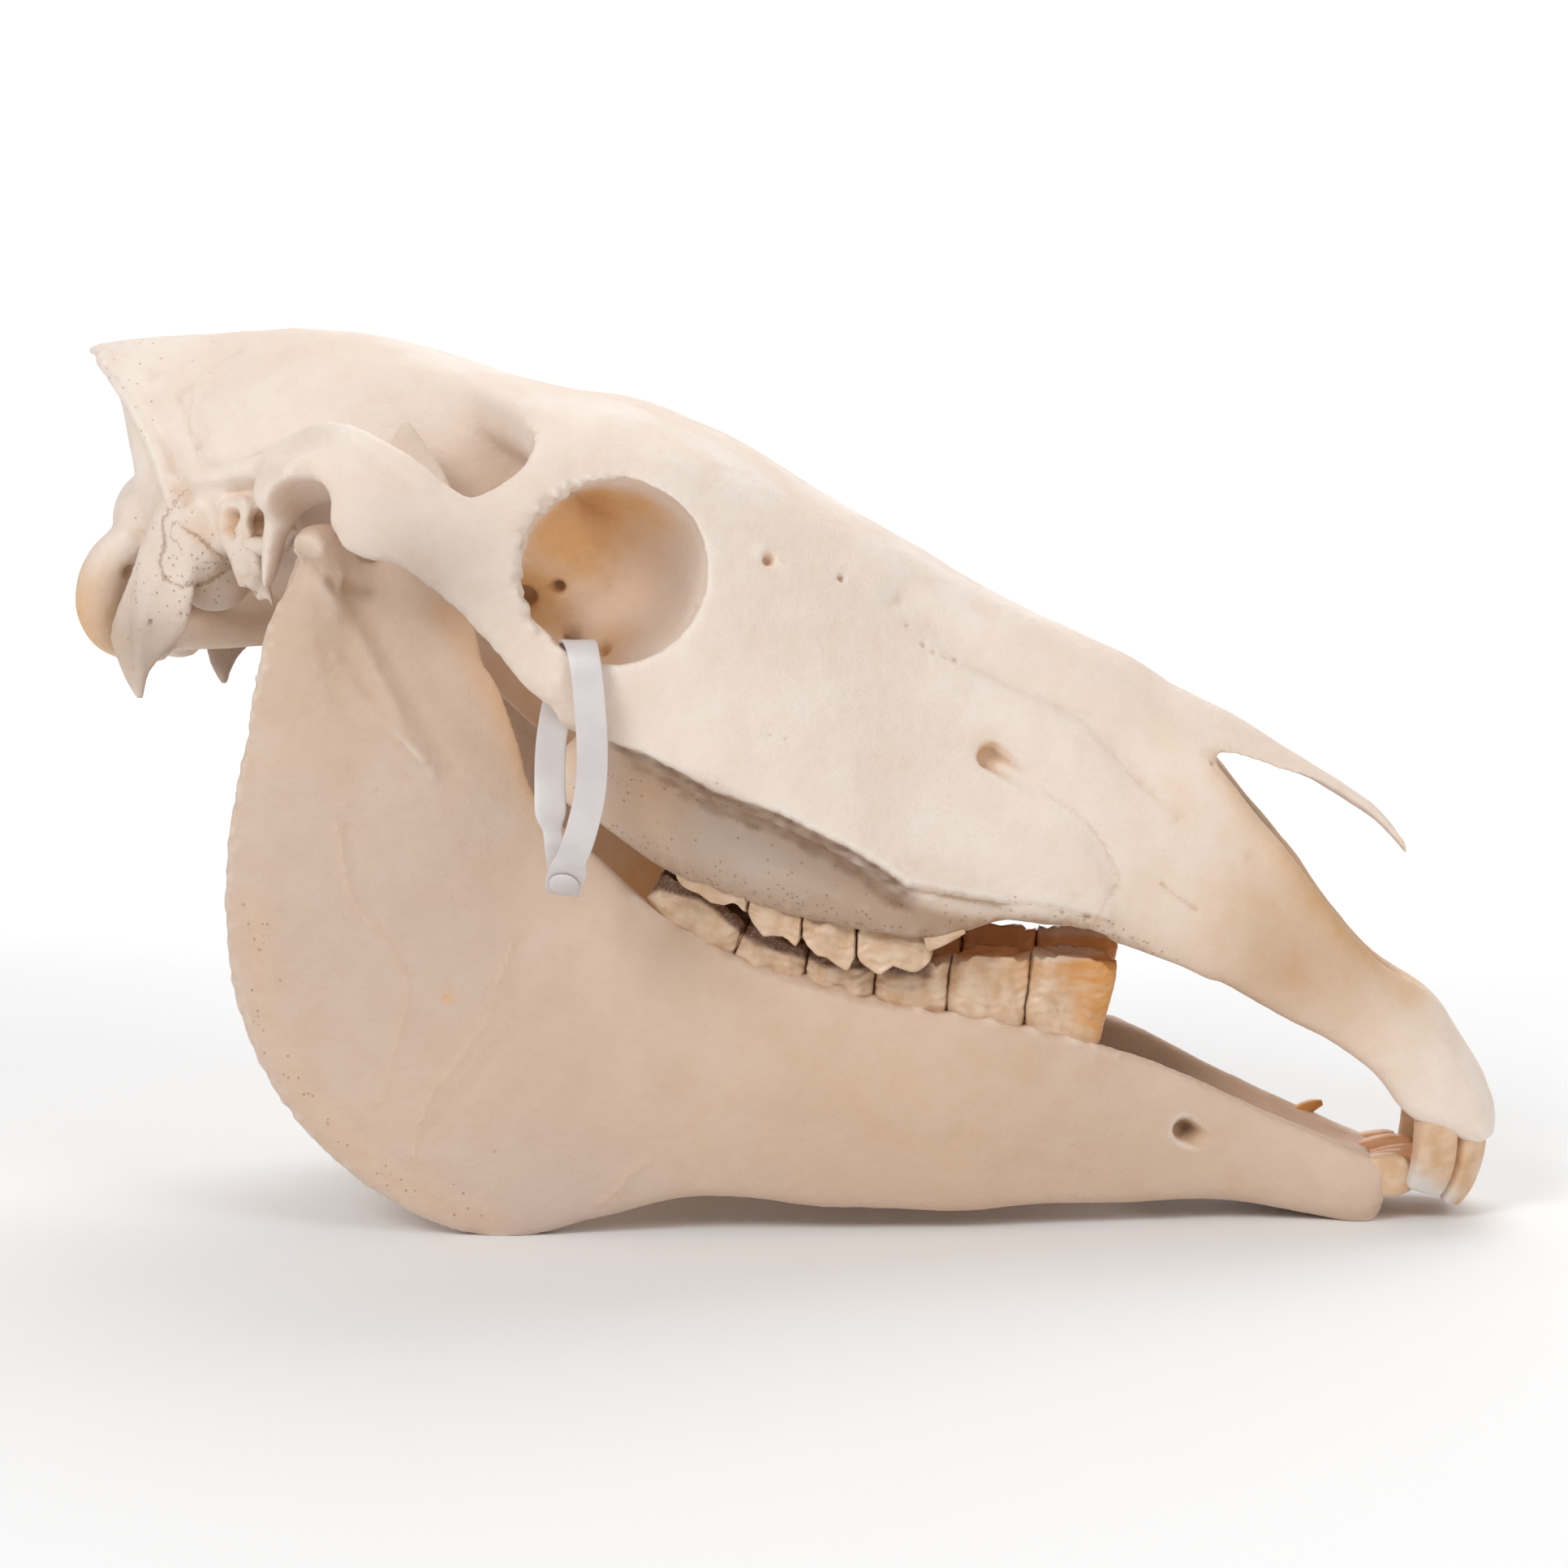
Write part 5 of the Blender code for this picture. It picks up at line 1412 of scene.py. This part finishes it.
def cheek_tooth(ends, row, half, gum, edge, seed, upper):
    """One crown as rings from ROOT_DEPTH mm inside the bone to its edge, and on over the grinding face.

    Round a ring, `c` runs from 1 at the tooth's front to -1 at its back, and `s` is above 0 on the cheek
    side. Inside the bone the ring draws in, so the crown's foot is two round lobes. The cheek side has ribs
    at its two corners and its middle on an upper tooth, and one groove in its middle on a lower one. Slow
    waves and growth rings go over it all, and crooked ridges, as sines of sines, over the grinding face."""
    front, back, front_foot, back_foot = ends
    c, s = superellipse(104, 0.36)
    cheek = step_up(s, 0.0, 0.55)
    way = 1 if upper else -1
    rise = np.linspace(0, 1, 44)[:, None]
    sway = 0.12 * np.sin(5.5 * rise + 2.3 * seed)
    if upper:
        folds = 2.6 * bell(c, 0.94, 0.12) + 2.7 * bell(c, 0.06 + sway, 0.13)
        folds = folds + 1.8 * bell(c, -0.96, 0.11) - 1.5
        folds = cheek * folds - (1 - cheek) * 1.3 * bell(c, -0.35, 0.1)
    else:
        folds = 1.7 * bell(c, 0.48 + sway, 0.28) + 1.7 * bell(c, -0.55 + sway, 0.25)
        folds = folds - 2.3 * bell(c, sway - 0.06, 0.13)
        inner = 1.2 * bell(c, 0.35, 0.12) + 0.9 * bell(c, -0.3, 0.12)
        folds = cheek * (folds - 0.7) - (1 - cheek) * inner
    hold = 0.5 * (front_foot - back_foot), 0.5 * (front - back)
    middle = 0.5 * (front_foot + back_foot), 0.5 * (front + back)
    crown = np.clip((rise - ROOT_SHARE) / (1 - ROOT_SHARE), 0, 1)
    draw = 1 - 0.35 * (1 - step_up(rise, 0.1, 0.34)) - 0.05 * step_up(rise, 0.94, 1.0)
    reach = hold[0] + (hold[1] - hold[0]) * crown + 0.3
    x = middle[0] + (middle[1] - middle[0]) * crown + reach * c * draw
    foot, tip, line = (along(rail, x.ravel())[:, 0].reshape(x.shape) for rail in (gum, edge, row))
    foot = foot + way * (1.8 * bell(c, 0, 0.16) + 1.4 * bell(np.abs(c), 1.0, 0.16)) - way * 0.9
    if upper:
        tip = tip + (1 - cheek) * 2.4
    else:
        tip = tip + (1 - cheek) * 1.6 + 0.5 * np.sin(8 * c + seed) + 0.4 * np.sin(19 * c + 2 * seed)
    inside = foot + way * ROOT_DEPTH * (ROOT_SHARE - rise) / ROOT_SHARE
    z = np.where(rise < ROOT_SHARE, inside, foot + (tip - foot) * crown)
    ripple = 0.32 * np.sin(z * 1.9 + 2.2 * np.sin(x * 0.5 + seed)) * step_up(rise, 0.3, 0.45)
    width = (half * s + (folds + ripple) * np.sign(s + 1e-9) * (1 - 0.3 * crown**3)) * draw
    wall = np.stack([x, line + width, z], -1)
    flat = wall.reshape(-1, 3)
    wave = (1.0 * rough(flat, 5.0, seed) + 0.35 * rough(flat, 2.4, seed + 1)).reshape(x.shape)
    wall[..., 0] += 0.25 * wave * c
    wall[..., 1] += wave * s
    last = wall[-1]
    core = last.mean(axis=0)
    steps = np.array(FACE_STEPS)[:, None, None]
    face = core + (last - core) * steps
    px, py = face[..., 0] - core[0], face[..., 1] - core[1]
    ridges = np.sin(px * 0.62 + 1.6 * np.sin(py * 0.8 + seed)) * 0.55 + 0.5 * np.sin(py * 1.1 + seed)
    share = steps[..., 0]
    sink = 1.3 * (1 - share) ** 0.35 - 0.7 * ridges * (1 - share**6)
    face[..., 2] = core[2] + (last[None, :, 2] - core[2]) * share + way * sink
    return shell(np.concatenate([wall, face]))


def joined(name, shells):
    """One smooth-shaded object from closed shells that aren't fused."""
    obj = side_by_side(name, shells)
    obj.data.shade_smooth()
    return obj


# What colours the enamel: streaks, growth rings, stain, the tongue's side, painted shade in gaps and a
# bleached edge.
STREAK, GROWTH_RING, STAIN = colour(206, 172, 130), colour(198, 160, 118), colour(212, 148, 82)
TONGUE_SIDE, GAP_SHADE, BLEACHED = colour(216, 142, 80), colour(92, 58, 36), colour(222, 217, 212)


def enamel_paint(name, light, deep):
    """Old enamel and cement: ivory streaked along the crown, orange where it is marked `stain` or `inner`,
    brown with painted shade where the gap mark is, and cool white where it is marked `bleached`."""
    made, tree, bsdf = new_paint(name)
    place = place_in_mm(tree)
    along_crown = node(tree, "Mapping", {"Vector": place, "Scale": (1.0, 1.0, 0.22)}).outputs[0]
    streak = node(tree, "TexNoise", {"Vector": along_crown, "Scale": 0.3, "Detail": 2.0}).outputs[0]
    cloud = node(tree, "TexNoise", {"Vector": place, "Scale": 0.16, "Detail": 4.0}).outputs[0]
    rings = node(tree, "Mapping", {"Vector": place, "Scale": (0.3, 0.3, 1.0)}).outputs[0]
    growth = node(tree, "TexNoise", {"Vector": rings, "Scale": 0.34, "Detail": 2.0}).outputs[0]
    fine = node(tree, "TexNoise", {"Vector": place, "Scale": 1.6, "Detail": 3.0}).outputs[0]
    stain = sums(tree, "MULTIPLY", marked(tree, "stain"), ramp(tree, growth, 0.3, 0.65, 0.7, 1.2))
    gap = sums(tree, "MULTIPLY", marked(tree, "gap"), ramp(tree, fine, 0.25, 0.6, 0.75, 1.1))
    tone = blend(tree, ramp(tree, cloud, 0.3, 0.76), light, deep)
    for share, tint in (
        (ramp(tree, streak, 0.5, 0.8, 0.0, 0.12), STREAK),
        (ramp(tree, growth, 0.5, 0.8, 0.0, 0.1), GROWTH_RING),
        (ramp(tree, stain, 0.0, 1.0), STAIN),
        (marked(tree, "inner"), TONGUE_SIDE),
        # Painted shade: brown between the crowns, where they leave the bone, and over the lower teeth's tops
        # under the upper ones.
        (ramp(tree, gap, 0.0, 1.0), GAP_SHADE),
        (marked(tree, "bleached"), BLEACHED),
    ):
        tone = blend(tree, share, tone, tint)
    tree.links.new(tone, bsdf.inputs["Base Color"])
    tree.links.new(ramp(tree, cloud, 0.3, 0.7, 0.34, 0.48), bsdf.inputs["Roughness"])
    height = sums(tree, "MULTIPLY_ADD", fine, 0.06, sums(tree, "MULTIPLY", streak, 0.2))
    height = sums(tree, "MULTIPLY_ADD", growth, 0.3, height)
    bump = node(tree, "Bump", {"Height": height, "Distance": 0.001, "Strength": 0.7})
    tree.links.new(bump.outputs[0], bsdf.inputs["Normal"])
    return made


def cheek_row(name, places, row, half, gum, edge, seed, upper):
    """The crowns of one jaw, both sides, as one object."""
    crowns = [cheek_tooth(ends, row, half, gum, edge, seed + k, upper) for k, ends in enumerate(places)]
    return joined(name, mirrored(*crowns))


enamel = enamel_paint("old_enamel", colour(227, 200, 173), colour(205, 169, 133))
upper_cheek = cheek_row(
    "upper_cheek_teeth", UPPER_CHEEK, UPPER_ROW, UPPER_HALF, UPPER_GUM, UPPER_EDGE, 0, True
)
lower_cheek = cheek_row(
    "lower_cheek_teeth", LOWER_CHEEK, LOWER_ROW, LOWER_HALF, LOWER_GUM, LOWER_EDGE, 10, False
)
# A splinter of the third upper premolar is left in its socket, on the right.
splinter = joined(
    "premolar_splinter",
    mirrored(
        limb([(53, 54.5, 99.6, 1.2, 2.6), (57, 54, 100.6, 1.5, 2.2), (61.5, 53.4, 102.2, 1.4, 1.6),
              (66, 52.8, 103.9, 0.8, 0.8)])
    )[1:],
)
for teeth, places, row, gum in (
    (upper_cheek, UPPER_CHEEK, UPPER_ROW, UPPER_GUM),
    (lower_cheek, LOWER_CHEEK, LOWER_ROW, LOWER_GUM),
    (splinter, UPPER_CHEEK, UPPER_ROW, UPPER_GUM),
):
    points = millimetres(teeth.data)
    x, y, z = points.T
    foot = along(gum, x)[:, 0]
    inner = step_up(along(row, x)[:, 0] - np.abs(y), -2, 3)
    # Painted shade: dark lines between neighbouring crowns, a dark band where each crown leaves the bone,
    # and shade on the lower crowns' upper part, under the upper teeth.
    between = np.zeros(len(x))
    for (_, back, _, back_foot), (front, _, front_foot, _) in zip(places, places[1:]):
        up = np.clip(np.abs(z - foot) / 18, 0, 1)
        line = 0.5 * (back_foot + front_foot) * (1 - up) + 0.5 * (back + front) * up
        between = np.maximum(between, bell(x - line + 0.5 * rough(points, 4.0, 52), 0, 0.5))
    biting = along(LOWER_EDGE, x)[:, 0] - 4.5 + 1.5 * rough(points, 5.0, 51)
    shaded = 0.85 * step_up(z - biting, -2.5, 1.5) * (1 - step_up(x, 50, 58)) * (teeth is lower_cheek)
    near_bone = bell(np.maximum(np.abs(z - foot) - 0.4, 0), 0, 0.8)
    stain = 0.7 * step_up(x, 92, 115) * step_up(z, 56, 72)
    stain = stain + 0.3 * step_up(x, 55, 90) * step_up(z, 78, 92) + 0.15
    mark(
        teeth,
        stain=np.clip(stain, 0, 1),
        inner=0.85 * inner,
        gap=np.clip(0.6 * between + 0.2 * near_bone + shaded, 0, 1),
        bleached=0.35 * step_up(z, 90.6, 92.6) * step_up(x, 84, 90) * (teeth is lower_cheek),
    )
    teeth.data.materials.append(enamel)
for teeth, cad_node in ((upper_cheek, "cranium"), (lower_cheek, "mandible"), (splinter, "cranium")):
    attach(teeth, "root")
    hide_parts(cad_node)


# ---------------------------------------------------------------- front teeth
# Six upper and six lower incisors, set in an arc, and one small canine that is through on the left. They are
# bars carried along a bent path, flattened front to back, whose free edge is worn across.


# The way of the width of a tooth that faces straight forward.
STRAIGHT_ACROSS = (0, 1, 0)


def front_teeth(*rows):
    """Each tooth from rows of (x, y, z, half width, half depth), with the direction of its width."""
    return [limb(tooth, count=32, steps=8, side=side, square=0.55) for tooth, side in rows]


upper_incisors = joined(
    "upper_incisors",
    mirrored(
        *front_teeth(
            (
                [(220.5, 20, 50, 6, 6), (222, 21.5, 38, 6.8, 4.8), (221.9, 22.4, 28, 7.2, 4.3),
                 (220.8, 22.3, 20, 7.3, 3.6), (218.6, 21.8, 13, 6.7, 2.4), (218.0, 21.6, 11.4, 5.4, 1.4)],
                (0.93, -0.36, -0.35),
            ),
            (
                [(229, 13, 46, 5, 4.5), (233.6, 14, 33, 6.2, 4.4), (233.6, 14.5, 24, 6.6, 4.2),
                 (231, 14.8, 14, 6.4, 3.6), (228.2, 14.8, 7.5, 5.6, 2.4), (227.6, 14.8, 6.2, 4.6, 1.6)],
                (0.55, -0.83, -0.1),
            ),
            (
                [(231, 5.2, 48, 4.4, 4.6), (236, 5.3, 33, 5.0, 4.4), (235.4, 5.2, 22, 5.1, 4),
                 (232.4, 5.1, 11, 4.9, 3.2), (230, 5.0, 6.5, 4.2, 2.2)],
                STRAIGHT_ACROSS,
            ),
        )
    ),
)
lower_incisors = joined(
    "lower_incisors",
    mirrored(
        *front_teeth(
            (
                [(195, 17, 15.3, 4.2, 6.4), (203, 18.6, 15.9, 4.4, 7.2), (209, 18.8, 16.6, 4.3, 7.2),
                 (213, 18.6, 17.4, 3.8, 6), (214.4, 18.4, 17.9, 2.8, 4.4)],
                STRAIGHT_ACROSS,
            ),
            (
                [(196, 11, 14, 4.2, 6), (208, 12, 17, 4.4, 6.4), (215.6, 12, 18.8, 4.2, 4.8),
                 (218, 12, 19.2, 3.2, 3.2)],
                STRAIGHT_ACROSS,
            ),
            (
                [(198, 4.2, 12, 3.6, 6), (210, 4.2, 15.5, 3.8, 6), (218.6, 4.1, 18, 3.6, 4.4),
                 (221, 4, 18.5, 2.8, 2.8)],
                STRAIGHT_ACROSS,
            ),
        )
    ),
)
canine = joined(
    "lower_canine",
    front_teeth(
        (
            [(175, 16, 26.5, 3, 3.2), (179, 17.8, 29.6, 3, 2.9), (183, 19.6, 31.8, 2.4, 2.2),
             (187, 21, 32.8, 1.1, 1.1)],
            STRAIGHT_ACROSS,
        )
    ),
)
for teeth in (upper_incisors, lower_incisors, canine):
    x, y, z = millimetres(teeth.data).T
    zero = np.zeros(len(x))
    tip = (1 - step_up(z + 0.8 * (x - 216), 13, 27)) * step_up(-y, 16, 20) * (teeth is upper_incisors)
    inside = step_up(18 - np.abs(y), -2, 2) * (teeth is lower_incisors)
    stain = zero + (1.0 if teeth is canine else 0.3)
    mark(teeth, stain=stain, inner=0.5 * inside, gap=zero, bleached=0.9 * tip)
    teeth.data.materials.append(enamel)
for teeth, cad_node in ((upper_incisors, "cranium"), (lower_incisors, "mandible"), (canine, "mandible")):
    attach(teeth, "root")
    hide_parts(cad_node)


# ---------------------------------------------------------------- strap and stud
# A loop of thin white plastic round the arch under the right eye: a band that goes up outside the arch, over
# the rim of the eye socket and down behind it, its two ends held by a round stud. The band is a flat bar
# carried along a path, and the stud is turned from a profile.

BAND_THICK = 1.2
# The band's path in mm, from its front end round to its hind one: x, y, z, half width.
BAND = [
    (-61.0, -92.0, 121.3, 5.6),
    (-59.5, -95.5, 125.5, 6.0),
    (-57.4, -98.6, 130.0, 6.0),
    (-56.0, -100.2, 133.5, 5.0),
    (-52.5, -102.2, 142.0, 5.0),
    (-49.0, -103.6, 155.0, 5.0),
    (-48.0, -103.9, 169.0, 5.0),
    (-48.6, -103.7, 183.0, 5.0),
    (-50.0, -101.9, 194.5, 5.0),
    (-51.8, -98.4, 200.6, 5.0),
    (-54.4, -92.5, 202.2, 5.0),
    (-57.4, -86.6, 199.2, 5.0),
    (-60.6, -83.0, 191.0, 5.0),
    (-63.6, -82.6, 180.0, 5.0),
    (-65.2, -85.0, 168.0, 5.0),
    (-65.0, -89.0, 155.0, 5.0),
    (-64.2, -92.2, 147.0, 5.0),
    (-63.4, -93.9, 142.0, 3.2),
    (-62.2, -95.8, 136.5, 3.4),
    (-60.6, -95.6, 130.2, 4.2),
    (-59.5, -93.2, 126.8, 4.2),
    (-59.9, -90.7, 123.7, 3.6),
]
# Where the stud goes through both ends, and how far its front head looks up, in degrees.
STUD_AT = (-59.5, -94.4, 126.2)
STUD_TILT = 40
# Radius and height of the stud, from the top of its front head to the foot of its back one.
STUD = [
    (0, 3.72), (1.6, 3.7), (2.7, 3.62), (3.5, 3.42), (4.2, 3.2), (4.7, 2.95), (4.88, 2.7), (4.88, 2.45),
    (4.7, 2.3), (1.75, 2.28), (1.7, 2.1), (1.7, -2.2), (1.8, -2.3), (3.3, -2.32), (3.4, -2.5), (3.4, -3.3),
    (3.2, -3.5), (0, -3.6),
]


def turned(profile, count):
    """A closed solid turned round its own axis from (radius, height) rows that start and end on the axis."""
    turn = np.arange(count) * 2 * pi / count
    radius, height = np.array(profile[1:-1]).T
    rings = np.stack(
        [radius[:, None] * np.cos(turn), radius[:, None] * np.sin(turn), height[:, None] + 0 * turn], -1
    )
    return shell(rings)


band_rows = [(*row, BAND_THICK / 2) for row in BAND]
strap = joined("tag_band", [limb(band_rows, count=40, steps=9, side=(1, 0, 0), square=0.3)])
points, sides = turned(STUD, 72)
tilt = np.array(Euler((radians(90 + STUD_TILT), 0, 0)).to_matrix())
stud = joined("tag_stud_turned", [(points @ tilt.T + STUD_AT, sides)])
plastic, tree, bsdf = new_paint("white_plastic")
place = node(tree, "TexCoord").outputs["Object"]
cloud = node(tree, "TexNoise", {"Vector": place, "Scale": 60.0, "Detail": 3.0}).outputs[0]
moulded = node(tree, "TexNoise", {"Vector": place, "Scale": 900.0, "Detail": 2.0}).outputs[0]
bump = node(tree, "Bump", {"Height": moulded, "Distance": 0.0001, "Strength": 0.3})
tone = blend(tree, ramp(tree, cloud, 0.35, 0.65), colour(219, 212, 210), colour(210, 202, 200))
tree.links.new(tone, bsdf.inputs["Base Color"])
tree.links.new(bump.outputs[0], bsdf.inputs["Normal"])
bsdf.inputs["Roughness"].default_value = 0.36
bsdf.inputs["Subsurface Weight"].default_value = 0.08
bsdf.inputs["Subsurface Radius"].default_value = (0.002, 0.002, 0.002)
for piece, cad_node in ((strap, "tag_strap"), (stud, "tag_stud")):
    piece.data.materials.append(plastic)
    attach(piece, "root")
    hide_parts(cad_node)


# ---------------------------------------------------------------- floor, light and camera
# A plain pale sheet that runs from under the skull up a wall behind it, four large soft lights, and the
# camera where the photo's was: level with the eye socket, a metre off, and a little to the skull's front.

# The sheet from front to back, in metres: flat up to FLAT_END, a quarter circle of radius BEND, a wall.
FLAT_END, BEND = 1.2, 1.4
curve = [
    (FLAT_END + BEND * np.sin(t), BEND - BEND * np.cos(t)) for t in np.linspace(0.06, pi / 2, 24)
]
FLOOR_PROFILE = [(-6.0, 0.0), (FLAT_END, 0.0), *curve, (2.6, 6.0)]
rows = np.array([[(x, y, z) for x in (-7.0, 7.0)] for y, z in FLOOR_PROFILE])
mesh = bpy.data.meshes.new("floor")
strips = [(2 * i, 2 * i + 1, 2 * i + 3, 2 * i + 2) for i in range(len(rows) - 1)]
mesh.from_pydata(rows.reshape(-1, 3).tolist(), [], strips)
mesh.shade_smooth()
floor = bpy.data.objects.new("floor", mesh)
bpy.context.scene.collection.objects.link(floor)
floor_paint, _, bsdf = new_paint("floor_paint")
bsdf.inputs["Base Color"].default_value = (0.93, 0.93, 0.93, 1)
bsdf.inputs["Roughness"].default_value = 0.7
floor.data.materials.append(floor_paint)

world = bpy.data.worlds.new("studio")
world.use_nodes = True
world.node_tree.nodes["Background"].inputs["Color"].default_value = (1, 1, 1, 1)
world.node_tree.nodes["Background"].inputs["Strength"].default_value = 0.36
bpy.context.scene.world = world


def soft_light(name, place, size, power, towards=(0, 0, 0.15)):
    """A square lamp that faces the middle of the skull, or another place."""
    lamp = bpy.data.lights.new(name, "AREA")
    lamp.energy, lamp.size = power, size
    obj = bpy.data.objects.new(name, lamp)
    bpy.context.scene.collection.objects.link(obj)
    obj.location = place
    obj.rotation_euler = (Vector(towards) - Vector(place)).to_track_quat("-Z", "Y").to_euler()


soft_light("key", (-1.0, -1.55, 1.5), 0.8, 20)
soft_light("right", (1.3, -1.2, 1.3), 0.9, 9.5)
soft_light("back", (0.2, 1.5, 2.8), 2.0, 34, towards=(0, 1.7, 0))
soft_light("wall", (0.0, 1.0, 1.7), 1.2, 22, towards=(0, 2.6, 1.2))

# How far the camera is turned round the skull, raised and rolled, and what it looks at from a metre off.
TURN, RISE, ROLL = radians(7.0), radians(5.2), radians(-0.77)
LOOKED_AT = Vector((0.0011, 0, 0.1473))
SENSOR, FOCAL_LENGTH = 36, 65.6

back = Vector((np.sin(TURN) * np.cos(RISE), -np.cos(TURN) * np.cos(RISE), np.sin(RISE)))
right = Vector((np.cos(TURN), np.sin(TURN), 0))
up = back.cross(right)
across = right * np.cos(ROLL) + up * np.sin(ROLL)
upright = up * np.cos(ROLL) - right * np.sin(ROLL)
stand = Matrix((across, upright, back)).transposed().to_4x4()
stand.translation = LOOKED_AT + back
lens = bpy.data.cameras.new("camera")
lens.sensor_width, lens.lens = SENSOR, FOCAL_LENGTH
camera = bpy.data.objects.new("camera", lens)
camera.matrix_world = stand
bpy.context.scene.collection.objects.link(camera)
bpy.context.scene.camera = camera
bpy.context.scene.view_settings.view_transform = "Standard"
